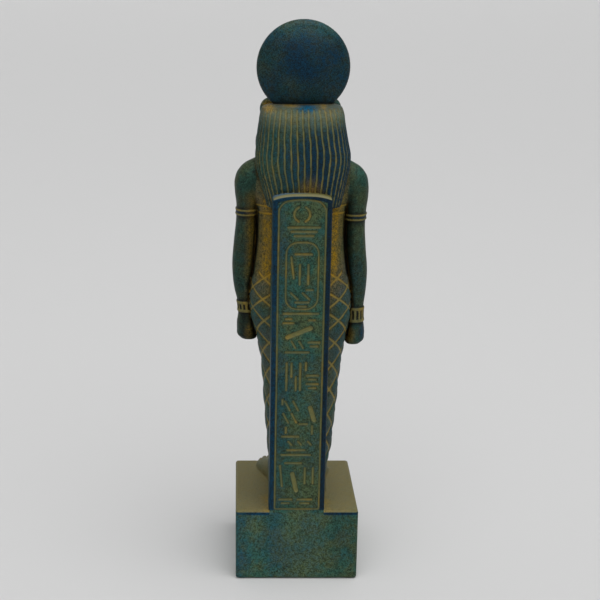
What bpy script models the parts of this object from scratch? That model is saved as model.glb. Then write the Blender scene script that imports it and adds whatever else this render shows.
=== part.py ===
# A cast statue of a standing lioness-headed figure with a sun disk, on a plinth and against a back pillar.
# The figure faces -Y. The origin is the centre of the plinth's underside. Lengths are in metres.

import math

import bmesh
import bpy
import numpy as np
from mathutils import Matrix, Vector

# Driving sizes
PLINTH_WIDTH = 0.067
PLINTH_DEPTH = 0.068
PLINTH_HEIGHT = 0.0413
PLINTH_EDGE_RADIUS = 0.0022
PILLAR_WIDTH = 0.0302
PILLAR_DEPTH = 0.014
PILLAR_HEIGHT = 0.1748
PILLAR_SIDE_OFFSET = -0.0006
PILLAR_EDGE_RADIUS = 0.0012
PANEL_MARGIN = 0.0031
PANEL_TOP_MARGIN = 0.0024
PANEL_BOTTOM_MARGIN = 0.0011
PANEL_CORNER = 0.0046
PANEL_LINE_WIDTH = 0.0009
STROKE_WIDTH = 0.0011
BROAD_STROKE_WIDTH = 0.0024
CARVING_DEPTH = 0.0007
FIGURE_HEIGHT = 0.218
DISK_DIAMETER = 0.048
DISK_THICKNESS = 0.017
DISK_RIM_RADIUS = 0.0035
DISK_SEAT = 0.006
DISK_SIDE_SHIFT = -0.6
DISK_SETBACK = 1.0
DISK_SIDES = 30
BAND_RELIEF = 0.0006

# The figure is laid out on a canon of 218 parts from its soles to the crown of its wig.
CANON_PARTS = 218
PART = FIGURE_HEIGHT / CANON_PARTS
AXIS_TO_PILLAR = 14 * PART
PILLAR_FRONT_Y = PLINTH_DEPTH / 2 - PILLAR_DEPTH
AXIS_Y = PILLAR_FRONT_Y - AXIS_TO_PILLAR

# Sections of the body in parts: height, edge at +X, edge at -X, front, back
BODY = (
    (-2, 14.2, -16.2, -14.0, 9.0),
    (5, 14.2, -16.4, -14.0, 9.5),
    (14, 14.4, -17.0, -14.0, 10.0),
    (25, 14.9, -19.1, -14.8, 11.0),
    (40, 16.1, -20.4, -16.0, 12.0),
    (54, 17.2, -21.8, -17.2, 12.5),
    (68, 18.1, -22.8, -17.4, 13.0),
    (82, 19.6, -24.3, -17.0, 14.8),
    (94, 22.2, -26.1, -17.0, 16.6),
    (104, 25.0, -27.9, -16.6, 17.6),
    (112, 25.9, -28.3, -16.0, 17.6),
    (122, 25.6, -27.5, -15.0, 16.2),
    (132, 24.3, -25.9, -14.0, 14.2),
    (141, 23.0, -24.9, -13.4, 13.0),
    (153, 22.6, -24.8, -14.4, 13.2),
    (163, 23.8, -26.2, -16.6, 14.2),
    (172, 26.0, -28.5, -16.4, 14.6),
    (180, 26.6, -29.4, -13.2, 13.6),
    (186, 21.6, -24.6, -10.6, 11.6),
    (191, 13.0, -15.0, -9.0, 9.6),
    (200, 12.0, -13.0, -9.0, 9.0),
)
BODY_SQUARENESS = 2.3
BODY_UPPER_LEVELS = (135, 142, 151, 160, 168, 175, 181, 186, 191, 200)

# Bead net of the dress: lozenges around the body, their height and how far they stand proud
NET_LOZENGES = 8
NET_BOTTOM = 4
NET_TOP = 133
NET_LOW_PITCH = 14.6
NET_HIGH_PITCH = 11.2
NET_LOW_LEVEL = 80
NET_HIGH_LEVEL = 108
NET_ANCHOR = 63.5
NET_RELIEF = 0.9

# Sections of each arm in parts: height, outer edge, inner edge, front, back
LEFT_ARM = (
    (89.8, 27.8, 24.0, -7.0, 0.0),
    (91.6, 31.6, 22.8, -9.4, 2.6),
    (95.2, 32.8, 21.8, -10.2, 3.4),
    (99.0, 32.8, 21.6, -9.6, 3.4),
    (104.5, 32.1, 22.6, -7.4, 3.0),
    (111.0, 32.5, 23.0, -6.2, 3.4),
    (118.0, 34.1, 23.0, -6.2, 4.4),
    (131.0, 35.3, 23.4, -6.2, 5.8),
    (145.0, 34.4, 22.8, -6.6, 6.4),
    (157.0, 33.2, 22.0, -7.2, 7.0),
    (165.0, 33.1, 21.2, -7.8, 7.6),
    (172.0, 33.9, 19.6, -8.4, 8.4),
    (178.0, 33.9, 17.6, -8.4, 8.8),
    (183.4, 31.8, 15.6, -7.2, 8.0),
    (187.0, 28.2, 14.0, -5.0, 6.4),
    (189.5, 23.4, 13.0, -3.0, 4.6),
)
RIGHT_ARM = (
    (86.6, 32.0, 28.0, -7.0, 0.0),
    (88.4, 35.6, 26.6, -9.4, 2.6),
    (92.0, 36.9, 25.6, -10.2, 3.4),
    (96.4, 36.6, 25.4, -9.6, 3.4),
    (101.0, 35.9, 26.2, -7.4, 3.0),
    (108.0, 35.8, 26.2, -6.2, 3.4),
    (116.0, 36.6, 25.8, -6.2, 4.4),
    (128.0, 37.1, 25.6, -6.2, 5.8),
    (142.0, 35.9, 24.6, -6.6, 6.4),
    (154.0, 35.2, 23.8, -7.2, 7.0),
    (162.0, 35.6, 23.0, -7.8, 7.6),
    (169.0, 36.4, 22.0, -8.4, 8.4),
    (175.0, 36.4, 20.0, -8.4, 8.8),
    (181.0, 34.9, 18.0, -7.2, 8.0),
    (185.0, 31.6, 16.0, -5.0, 6.4),
    (188.0, 26.6, 14.0, -3.0, 4.6),
)
# Raised bands on each arm in parts: lower edge, upper edge
LEFT_BANDS = ((105.4, 111.6), (159.6, 162.8))
RIGHT_BANDS = ((99.8, 108.0), (157.0, 160.2))
BAND_STEP = 0.5
FIST_STEPS = (1.2, 3.2)
ARM_SIDES = 12
ARM_LEVELS = 15
WEB = (20.0, 29.0, -3.2, 1.6)
WEB_BOTTOM = 92
WEB_TOP = 176
ARM_SQUARENESS = 2.2
# The stone left between the figure and its pillar in parts: half width, front, back, bottom, top
SPINE = (11.2, 2.0, 15.0, -4.0, 172.0)

# Sections of the wig in parts: height, edge at +X, edge at -X, front, back
WIG = (
    (166, 15.6, -20.6, 4.0, 21.2),
    (172, 17.6, -21.8, 3.0, 22.4),
    (179, 20.6, -23.6, 1.0, 23.0),
    (186, 22.8, -25.4, -3.0, 23.0),
    (192, 23.4, -26.0, -8.0, 22.6),
    (198, 22.8, -25.0, -12.0, 21.8),
    (204, 22.3, -23.9, -13.0, 20.6),
    (209, 21.6, -23.0, -11.0, 19.2),
    (213, 21.0, -22.4, -8.0, 16.6),
    (215, 20.4, -21.8, -6.0, 13.4),
    (216.6, 19.2, -20.6, -4.0, 9.6),
    (217.4, 17.0, -18.4, -2.0, 6.4),
)
WIG_LEVELS = (166, 174, 183, 192, 201, 209, 213, 215, 216.6, 217.4)
WIG_FLUTES = 46
WIG_FLUTE_DEPTH = 0.8
WIG_SQUARENESS = 2.4
# Front falls of the wig in parts: height, outer edge, inner edge, front, back
LAPPET = (
    (151, 18.6, 7.2, -19.6, -11.0),
    (160, 19.4, 7.4, -21.4, -11.0),
    (170, 20.6, 7.6, -21.4, -9.0),
    (180, 22.0, 7.8, -20.0, -6.0),
    (190, 23.2, 8.2, -18.4, -4.0),
    (200, 23.2, 9.0, -14.6, -2.0),
    (204, 21.8, 9.4, -12.6, -1.0),
)
LAPPET_LEVELS = (151, 158, 168, 178, 188, 197, 204)
LAPPET_STRANDS = 5
LAPPET_STRAND_DEPTH = 0.7
LAPPET_ROUND_OFF = 2.4

# Rounded forms in parts: centre, radii
HEAD_SHIFT = -0.6
SKULL = ((HEAD_SHIFT, -8.0, 203.0), (14.4, 14.2, 13.6))
THROAT = ((HEAD_SHIFT, -5.0, 196.0), (21.0, 11.0, 17.0))
CHIN = ((HEAD_SHIFT, -24.4, 191.6), (3.8, 4.6, 2.8))
NOSE_TIP = ((HEAD_SHIFT, -29.4, 200.0), (3.3, 2.2, 1.8))
TEMPLE = ((15.0, -8.0, 204.5), (6.4, 4.6, 6.0))
BROW = ((6.0, -18.4, 207.4), (4.8, 3.0, 1.8))
EYE = ((6.8, -19.8, 203.4), (2.7, 2.2, 1.7))
CHEEK = ((8.8, -16.2, 196.6), (5.0, 5.2, 5.8))
EAR = ((15.8, -10.0, 213.4), (5.0, 3.2, 5.9))
BREAST = ((10.4, -12.6, 160.0), (7.6, 6.4, 7.4))
# Sections of the face from the ears forward in parts: distance in front, half width twice, underside, top
SNOUT = (
    (6.0, 13.4, -13.4, 187.0, 211.0),
    (12.0, 12.6, -12.6, 187.6, 210.6),
    (17.0, 10.4, -10.4, 188.8, 208.8),
    (21.0, 8.0, -8.0, 190.0, 205.6),
    (25.0, 6.7, -6.7, 191.2, 202.8),
    (28.5, 5.8, -5.8, 192.6, 201.2),
    (30.6, 4.0, -4.0, 194.2, 199.8),
)
SNOUT_SQUARENESS = 2.2
SNOUT_SIDES = 14
# The ruff of mane around the face
RUFF_CENTRE = (HEAD_SHIFT, -12.0, 200.0)
RUFF_LOCKS = 22
RUFF_INNER = 9.0
RUFF_OUTER = 21.6
RUFF_THICKNESS = 8.0
RUFF_LOCK_DEPTH = 1.1
RUFF_FACE_LEAN = 2.4
RUFF_SQUASH = 0.86
# The ruff's section: share of the way out, depth in thicknesses, share of a lock's depth
RUFF_SECTION = (
    (0.0, -0.5, 0.0),
    (0.45, -0.62, 0.5),
    (0.85, -0.36, 1.0),
    (1.0, 0.1, 1.0),
    (0.85, 0.5, 0.0),
    (0.0, 0.5, 0.0),
)
# The rearing cobra in front of the disk, in parts: distance in front of the axis, height, radius
COBRA = ((-9.0, 215.0, 2.4), (-14.0, 214.6, 3.0), (-17.2, 218.0, 4.2), (-15.4, 222.6, 4.4), (-14.8, 227.0, 2.6))

# Feet in parts: distance behind the axis, side place, half width, height of the top
LEFT_FOOT = (
    (6.0, 8.0, 3.4, 3.0),
    (3.0, 8.2, 5.4, 9.0),
    (-4.0, 8.8, 6.2, 12.0),
    (-13.0, 10.4, 6.0, 12.6),
    (-21.0, 12.4, 6.5, 9.2),
    (-28.0, 13.8, 7.1, 6.8),
    (-32.5, 14.2, 7.1, 5.6),
    (-36.0, 13.8, 6.4, 4.6),
    (-38.0, 13.4, 4.8, 2.8),
)
RIGHT_FOOT = (
    (8.0, -11.0, 3.4, 3.0),
    (5.0, -11.2, 5.4, 9.0),
    (-2.0, -11.6, 6.2, 12.0),
    (-10.0, -12.2, 5.8, 12.6),
    (-17.0, -13.0, 6.0, 8.4),
    (-23.0, -13.8, 6.8, 5.6),
    (-27.0, -14.2, 6.9, 4.4),
    (-30.0, -14.0, 6.2, 3.8),
    (-32.0, -13.6, 4.6, 2.4),
)
FOOT_SIDES = 16
FOOT_ROUNDNESS = 0.6
FOOT_SOLE = 0.9
TOES = 5
TOE_FIRST_STATION = 5
TOE_GROOVE = 0.42
SOLE_SINK = 1.5

NET_STEPS = 2
BODY_SIDES = NET_STEPS * NET_LOZENGES
PILLAR_CROWN_RISE = 0.0022
PILLAR_CROWN_STEPS = 8
# Forms whose many thin facets the exact solver drops
FINE_JOINS = ("ruff",)


def new_collection(name):
    collection = bpy.data.collections.new(name)
    bpy.context.scene.collection.children.link(collection)
    return collection


def mesh_object(name, mesh_data, collection):
    mesh = bpy.data.meshes.new(name)
    bmesh.ops.recalc_face_normals(mesh_data, faces=mesh_data.faces)
    mesh_data.to_mesh(mesh)
    mesh_data.free()
    made = bpy.data.objects.new(name, mesh)
    collection.objects.link(made)
    return made


def as_tool(made):
    """Keeps a form that is only joined or cut with out of the picture."""
    made.hide_render = True
    made.display_type = "WIRE"
    return made


def smooth_table(table, heights):
    """Rows of a table of sections at any heights, on a smooth curve through the table's own rows."""
    rows = np.array(table, float)
    levels = rows[:, 0]
    slopes = np.gradient(rows[:, 1:], levels, axis=0)
    found = []
    for height in heights:
        at = min(max(np.searchsorted(levels, height) - 1, 0), len(levels) - 2)
        span = levels[at + 1] - levels[at]
        t = min(max((height - levels[at]) / span, 0.0), 1.0)
        low = (1 + 2 * t) * (1 - t) ** 2
        low_slope = t * (1 - t) ** 2 * span
        high = t * t * (3 - 2 * t)
        high_slope = t * t * (t - 1) * span
        found.append(
            low * rows[at, 1:] + low_slope * slopes[at] + high * rows[at + 1, 1:] + high_slope * slopes[at + 1]
        )
    return found


def in_place(x, y, height):
    """A point of the figure, given in parts, in metres."""
    return Vector((x * PART, AXIS_Y + y * PART, PLINTH_HEIGHT + height * PART))


def section_point(edges, angle, squareness, proud=0.0, even=False):
    """A point of a section with edges at +X, -X, front and back; the angle runs from the back to +X.

    Even spacing sets the points apart by their direction, as the wig's flutes are.
    """
    plus, minus, front, back = edges
    middle_x = (plus + minus) / 2
    middle_y = (front + back) / 2
    half_x = (plus - minus) / 2 + proud
    half_y = (back - front) / 2 + proud
    sine = math.sin(angle)
    cosine = math.cos(angle)
    if even:
        reach = (abs(sine) ** squareness + abs(cosine) ** squareness) ** (-1 / squareness)
        return middle_x + half_x * reach * sine, middle_y + half_y * reach * cosine
    power = 2 / squareness
    x = middle_x + half_x * math.copysign(abs(sine) ** power, sine)
    y = middle_y + half_y * math.copysign(abs(cosine) ** power, cosine)
    return x, y


def loft(name, rings, collection, split=None):
    """A closed solid through rings of points; split(ring, side) says which diagonal a quad is cut along."""
    made = bmesh.new()
    verts = [[made.verts.new(point) for point in ring] for ring in rings]
    count = len(rings[0])
    for level in range(len(rings) - 1):
        for side in range(count):
            after = (side + 1) % count
            low_a = verts[level][side]
            low_b = verts[level][after]
            high_a = verts[level + 1][side]
            high_b = verts[level + 1][after]
            if split is None:
                made.faces.new((low_a, low_b, high_b, high_a))
            elif split(level, side):
                made.faces.new((low_a, low_b, high_b))
                made.faces.new((low_a, high_b, high_a))
            else:
                made.faces.new((low_a, low_b, high_a))
                made.faces.new((low_b, high_b, high_a))
    made.faces.new(verts[0][::-1])
    made.faces.new(verts[-1])
    return mesh_object(name, made, collection)


def net_phase(height):
    """How many lozenges lie between the net's anchor and a height; the lozenges get shorter on the hips."""

    def turns_to(level):
        low = min(level, NET_LOW_LEVEL) / NET_LOW_PITCH
        middle = min(max(level, NET_LOW_LEVEL), NET_HIGH_LEVEL) - NET_LOW_LEVEL
        high = max(level - NET_HIGH_LEVEL, 0) / NET_HIGH_PITCH
        return low + 2 * middle / (NET_LOW_PITCH + NET_HIGH_PITCH) + high

    return turns_to(height) - turns_to(NET_ANCHOR)


def net_height(phase):
    """The height at which the net reaches a phase."""
    low = -40.0
    high = 200.0
    for _ in range(40):
        middle = (low + high) / 2
        if net_phase(middle) < phase:
            low = middle
        else:
            high = middle
    return low


def pillow(side, level):
    """0 where the net's threads cross and 1 in the middle of a lozenge, on a grid of half lozenges."""
    return (side + level) % NET_STEPS


def body_form(collection):
    """Legs in the netted dress, hips, waist, chest and neck, as one loft."""
    lowest = math.ceil(net_phase(NET_BOTTOM) * NET_STEPS)
    highest = math.floor(net_phase(NET_TOP) * NET_STEPS)
    levels = list(range(lowest, highest + 1))
    heights = [BODY[0][0]] + [net_height(level / NET_STEPS) for level in levels] + list(BODY_UPPER_LEVELS)
    sections = smooth_table(BODY, heights)
    rings = []
    for row, (height, edges) in enumerate(zip(heights, sections)):
        netted = 1 <= row <= len(levels)
        ring = []
        for side in range(BODY_SIDES):
            angle = 2 * math.pi * side / BODY_SIDES
            proud = NET_RELIEF * pillow(side, levels[row - 1]) if netted else 0.0
            x, y = section_point(edges, angle, BODY_SQUARENESS, proud)
            ring.append(in_place(x, y, height))
        rings.append(ring)

    def split(row, side):
        if not 1 <= row < len(levels):
            return (row + side) % 2 == 0
        return pillow(side, levels[row - 1]) == 0

    return loft("body", rings, collection, split)


def arm_form(name, table, bands, toward, collection):
    """One straight arm with its fist, stepped out where it wears a band."""
    step = BAND_STEP
    lowest = table[0][0]
    highest = table[-1][0]
    heights = {lowest, highest}
    heights.update(np.linspace(lowest, highest, ARM_LEVELS)[1:-1])
    for low, high in bands:
        heights = {h for h in heights if not low - 3 * step < h < high + 3 * step}
        heights.update((low - step, low, high, high + step))
    heights.update(lowest + rise for rise in FIST_STEPS)
    relief = BAND_RELIEF / PART
    rings = []
    levels = sorted(heights)
    for height, (outer, inner, front, back) in zip(levels, smooth_table(table, levels)):
        banded = any(low - step / 2 < height < high + step / 2 for low, high in bands)
        edges = (outer, inner, front, back)
        ring = []
        for side in range(ARM_SIDES):
            angle = 2 * math.pi * side / ARM_SIDES
            x, y = section_point(edges, angle, ARM_SQUARENESS, relief if banded else 0.0)
            ring.append(in_place(toward * x, y, height))
        rings.append(ring)
    return loft(name, rings, collection)


def box_form(name, low, high, collection):
    made = bmesh.new()
    size = Vector(high) - Vector(low)
    middle = (Vector(high) + Vector(low)) / 2
    bmesh.ops.create_cube(made, size=1, matrix=Matrix.Translation(middle) @ Matrix.Diagonal((*size, 1)))
    return mesh_object(name, made, collection)


def web_form(name, toward, collection):
    """The thin wall left standing between an arm and the waist."""
    inner, outer, front, back = WEB
    low = in_place(min(toward * inner, toward * outer), front, WEB_BOTTOM)
    high = in_place(max(toward * inner, toward * outer), back, WEB_TOP)
    return box_form(name, low, high, collection)


def spine_form(collection):
    """The stone between the figure's back and its pillar."""
    half_width, front, back, bottom, top = SPINE
    return box_form("spine", in_place(-half_width, front, bottom), in_place(half_width, back, top), collection)


def wig_form(collection):
    """The striped wig at the back and the sides, with a ridge between each pair of flutes."""
    rings = []
    for height, edges in zip(WIG_LEVELS, smooth_table(WIG, WIG_LEVELS)):
        ring = []
        for side in range(2 * WIG_FLUTES):
            angle = math.pi * side / WIG_FLUTES
            proud = 0.0 if side % 2 else -WIG_FLUTE_DEPTH
            x, y = section_point(edges, angle, WIG_SQUARENESS, proud, even=True)
            ring.append(in_place(x, y, height))
        rings.append(ring)
    return loft("wig", rings, collection)


def lappet_form(name, toward, collection):
    """One front fall of the wig, with upright strands on its face."""
    across = 2 * LAPPET_STRANDS + 1
    rings = []
    for height, (outer, inner, front, back) in zip(LAPPET_LEVELS, smooth_table(LAPPET, LAPPET_LEVELS)):
        ring = []
        for column in range(across):
            share = column / (across - 1)
            x = inner + (outer - inner) * share
            round_off = LAPPET_ROUND_OFF * abs(2 * share - 1) ** 3
            groove = 0.0 if column % 2 else LAPPET_STRAND_DEPTH
            ring.append(in_place(toward * x, front + round_off + groove, height))
        ring.append(in_place(toward * outer, back, height))
        ring.append(in_place(toward * inner, back, height))
        rings.append(ring)
    return loft(name, rings, collection)


def round_form(name, place, collection, toward=1, sides=12, levels=8):
    """An ellipsoid that is blended into the head or the chest."""
    (x, y, height), radii = place
    middle_x = HEAD_SHIFT + toward * x if x != HEAD_SHIFT else x
    made = bmesh.new()
    scale = Matrix.Diagonal((*(radius * PART for radius in radii), 1))
    place_at = Matrix.Translation(in_place(middle_x, y, height))
    bmesh.ops.create_uvsphere(made, u_segments=sides, v_segments=levels, radius=1, matrix=place_at @ scale)
    return mesh_object(name, made, collection)


def snout_form(collection):
    """The lioness's face from the brow to the muzzle."""
    rings = []
    levels = [row[0] for row in SNOUT]
    for level, edges in zip(levels, smooth_table(SNOUT, levels)):
        ring = []
        for side in range(SNOUT_SIDES):
            x, height = section_point(edges, 2 * math.pi * side / SNOUT_SIDES, SNOUT_SQUARENESS)
            ring.append(in_place(HEAD_SHIFT + x, -level, height))
        rings.append(ring)
    return loft("snout", rings, collection)


def ruff_form(collection):
    """The mane: a ring of radial locks around the face, leaning back at its rim."""
    middle_x, middle_y, middle_height = RUFF_CENTRE
    count = 2 * RUFF_LOCKS
    made = bmesh.new()
    verts = []
    for side in range(count):
        angle = math.pi * side / RUFF_LOCKS
        lock = 0.0 if side % 2 else RUFF_LOCK_DEPTH
        ring = []
        for out, back, carved in RUFF_SECTION:
            radius = RUFF_INNER + (RUFF_OUTER - RUFF_INNER) * out - lock * carved * out
            depth = middle_y + RUFF_THICKNESS * back - RUFF_FACE_LEAN * (1 - out) + lock * carved * 0.6
            height = middle_height + radius * math.sin(angle) * RUFF_SQUASH
            ring.append(made.verts.new(in_place(middle_x + radius * math.cos(angle), depth, height)))
        verts.append(ring)
    for at, here in enumerate(verts):
        after = verts[(at + 1) % count]
        for row in range(len(RUFF_SECTION)):
            following = (row + 1) % len(RUFF_SECTION)
            made.faces.new((here[row], after[row], after[following], here[following]))
    return mesh_object("ruff", made, collection)


def disk_form(collection):
    """The sun disk: a lens with a rounded rim, turned about the front-to-back axis."""
    radius = DISK_DIAMETER / 2
    half = DISK_THICKNESS / 2
    rim = DISK_RIM_RADIUS
    face_steps = 3
    rim_steps = 3
    profile = []
    for step in range(face_steps):
        share = step / face_steps
        profile.append(((radius - rim) * share, half - (half - rim) * share * share))
    for step in range(rim_steps + 1):
        turn = math.pi / 2 * step / rim_steps
        profile.append((radius - rim + rim * math.sin(turn), rim * math.cos(turn)))
    profile += [(x, -z) for x, z in reversed(profile[:-1])]
    made = bmesh.new()
    verts = [made.verts.new((x, 0, z)) for x, z in profile]
    for first, second in zip(verts, verts[1:]):
        made.edges.new((first, second))
    mesh = bpy.data.meshes.new("disk")
    made.to_mesh(mesh)
    made.free()
    disk = bpy.data.objects.new("disk", mesh)
    collection.objects.link(disk)
    turned = disk.modifiers.new("turned", "SCREW")
    turned.steps = DISK_SIDES
    turned.render_steps = DISK_SIDES
    turned.use_merge_vertices = True
    turned.merge_threshold = 0.00001
    turned.use_normal_calculate = False
    disk.rotation_euler = (math.radians(90), 0, 0)
    crown = in_place(HEAD_SHIFT + DISK_SIDE_SHIFT, DISK_SETBACK, CANON_PARTS)
    disk.location = crown + Vector((0, 0, radius - DISK_SEAT))
    return disk


def cobra_form(collection):
    """The rearing cobra on the brow, a bent tube with a flared hood, ending against the disk."""
    curve = bpy.data.curves.new("cobra path", "CURVE")
    curve.dimensions = "3D"
    curve.bevel_depth = 1
    curve.bevel_resolution = 2
    curve.use_fill_caps = True
    line = curve.splines.new("POLY")
    line.points.add(len(COBRA) - 1)
    for point, (y, height, radius) in zip(line.points, COBRA):
        point.co = (*in_place(HEAD_SHIFT, y, height), 1)
        point.radius = radius / 2 * PART
    path = bpy.data.objects.new("cobra path", curve)
    collection.objects.link(path)
    bpy.context.view_layer.update()
    seen = path.evaluated_get(bpy.context.evaluated_depsgraph_get())
    made = bmesh.new()
    mesh = bpy.data.meshes.new_from_object(seen)
    made.from_mesh(mesh)
    bmesh.ops.remove_doubles(made, verts=made.verts, dist=0.00001)
    bpy.data.objects.remove(path)
    bpy.data.meshes.remove(mesh)
    return mesh_object("cobra", made, collection)


def foot_form(name, table, collection):
    """One bare foot: a low arch across, with grooves between the toes near its end."""
    rings = []
    for station, (y, middle, half_width, top) in enumerate(table):
        ring = []
        for column in range(FOOT_SIDES):
            share = column / (FOOT_SIDES - 1)
            across = -math.cos(math.pi * share)
            rise = math.sin(math.pi * share) ** FOOT_ROUNDNESS
            toed = station >= TOE_FIRST_STATION
            notch = abs(math.cos(math.pi * TOES * (across + 1) / 2)) ** 2 if toed else 1.0
            lift = top * rise * (1 - TOE_GROOVE * (1 - notch))
            ring.append(in_place(middle + half_width * across, y, lift - SOLE_SINK))
        ring.append(in_place(middle + half_width * FOOT_SOLE, y, -SOLE_SINK - 1))
        ring.append(in_place(middle - half_width * FOOT_SOLE, y, -SOLE_SINK - 1))
        rings.append(ring)
    return loft(name, rings, collection)


def pillar_form(collection):
    """The back pillar, with a gently arched top, from inside the plinth up to the wig."""
    half = PILLAR_WIDTH / 2
    top = PLINTH_HEIGHT + PILLAR_HEIGHT
    middle = PILLAR_SIDE_OFFSET
    outline = [(middle - half, PLINTH_HEIGHT / 2), (middle + half, PLINTH_HEIGHT / 2)]
    for step in range(PILLAR_CROWN_STEPS + 1):
        across = 1 - 2 * step / PILLAR_CROWN_STEPS
        outline.append((middle + half * across, top - PILLAR_CROWN_RISE * abs(across) ** 3))
    made = bmesh.new()
    rear = PLINTH_DEPTH / 2
    face = made.faces.new([made.verts.new((x, rear, z)) for x, z in outline])
    grown = bmesh.ops.extrude_face_region(made, geom=[face])
    moved = [item for item in grown["geom"] if isinstance(item, bmesh.types.BMVert)]
    bmesh.ops.translate(made, verts=moved, vec=(0, -PILLAR_DEPTH, 0))
    pillar = mesh_object("pillar", made, collection)
    bevel = pillar.modifiers.new("soft edges", "BEVEL")
    bevel.width = PILLAR_EDGE_RADIUS
    bevel.segments = 2
    bevel.limit_method = "ANGLE"
    bevel.angle_limit = math.radians(40)
    return pillar


def plinth_form(collection):
    made = bmesh.new()
    size = Matrix.Diagonal((PLINTH_WIDTH, PLINTH_DEPTH, PLINTH_HEIGHT, 1))
    bmesh.ops.create_cube(made, size=1, matrix=Matrix.Translation((0, 0, PLINTH_HEIGHT / 2)) @ size)
    plinth = mesh_object("sekhmet_statue", made, collection)
    bevel = plinth.modifiers.new("rounded edges", "BEVEL")
    bevel.width = PLINTH_EDGE_RADIUS
    bevel.segments = 3
    bevel.limit_method = "ANGLE"
    return plinth


def panel_frame():
    """The middle of the border line around the panel: its left, bottom, right and top, in metres."""
    half = PILLAR_WIDTH / 2 - PANEL_MARGIN
    bottom = PLINTH_HEIGHT + PANEL_BOTTOM_MARGIN
    top = PLINTH_HEIGHT + PILLAR_HEIGHT - PILLAR_EDGE_RADIUS - PANEL_TOP_MARGIN
    return PILLAR_SIDE_OFFSET - half, bottom, PILLAR_SIDE_OFFSET + half, top


def on_panel(x, height):
    """A point of the panel, given in parts from its middle and above the soles, in metres across and up."""
    return PILLAR_SIDE_OFFSET + x * PART, PLINTH_HEIGHT + height * PART


def ribbon(made, points, width, closed=False):
    """A cutter along a line in the panel: a strip of one width that passes through the rear face."""
    count = len(points)
    outer = []
    inner = []
    for at, point in enumerate(points):
        before = points[(at - 1) % count] if closed or at else point
        after = points[(at + 1) % count] if closed or at < count - 1 else point
        first = (Vector(point) - Vector(before)).normalized() if before != point else Vector((0, 0))
        second = (Vector(after) - Vector(point)).normalized() if after != point else Vector((0, 0))
        along = (first + second).normalized()
        side = Vector((-along.y, along.x))
        straight = max(along.dot(second if second.length else first), 0.5)
        offset = side * (width / 2 / straight)
        outer.append(Vector(point) + offset)
        inner.append(Vector(point) - offset)
    rear = PLINTH_DEPTH / 2
    layers = []
    for y in (rear - CARVING_DEPTH, rear + CARVING_DEPTH):
        layers.append([[made.verts.new((p.x, y, p.y)) for p in line] for line in (outer, inner)])
    (deep_outer, deep_inner), (proud_outer, proud_inner) = layers
    last = count if closed else count - 1
    for at in range(last):
        after = (at + 1) % count
        made.faces.new((deep_outer[at], deep_outer[after], deep_inner[after], deep_inner[at]))
        made.faces.new((proud_outer[at], proud_inner[at], proud_inner[after], proud_outer[after]))
        made.faces.new((deep_outer[at], proud_outer[at], proud_outer[after], deep_outer[after]))
        made.faces.new((deep_inner[at], deep_inner[after], proud_inner[after], proud_inner[at]))
    if not closed:
        for at in (0, count - 1):
            made.faces.new((deep_outer[at], deep_inner[at], proud_inner[at], proud_outer[at]))


def arc(middle, radius_x, radius_z, start, end, steps):
    """Points along an arc of an ellipse, angles in degrees from +X upwards."""
    found = []
    for step in range(steps + 1):
        angle = math.radians(start + (end - start) * step / steps)
        found.append((middle[0] + radius_x * math.cos(angle), middle[1] + radius_z * math.sin(angle)))
    return found


def rounded_loop(low, high, low_radius, high_radius, steps=3):
    """A closed outline of a rectangle with round corners, smaller or larger below than above."""
    found = []
    corners = (
        (high[0] - high_radius, high[1] - high_radius, high_radius, 0),
        (low[0] + high_radius, high[1] - high_radius, high_radius, 90),
        (low[0] + low_radius, low[1] + low_radius, low_radius, 180),
        (high[0] - low_radius, low[1] + low_radius, low_radius, 270),
    )
    for x, z, radius, start in corners:
        found += arc((x, z), radius, radius, start, start + 90, steps)
    return found


# The oval frame in parts: its middle across and up, width, height and corner
OVAL = (-0.4, 132.6, 16.6, 35.6, 6.0)
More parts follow.
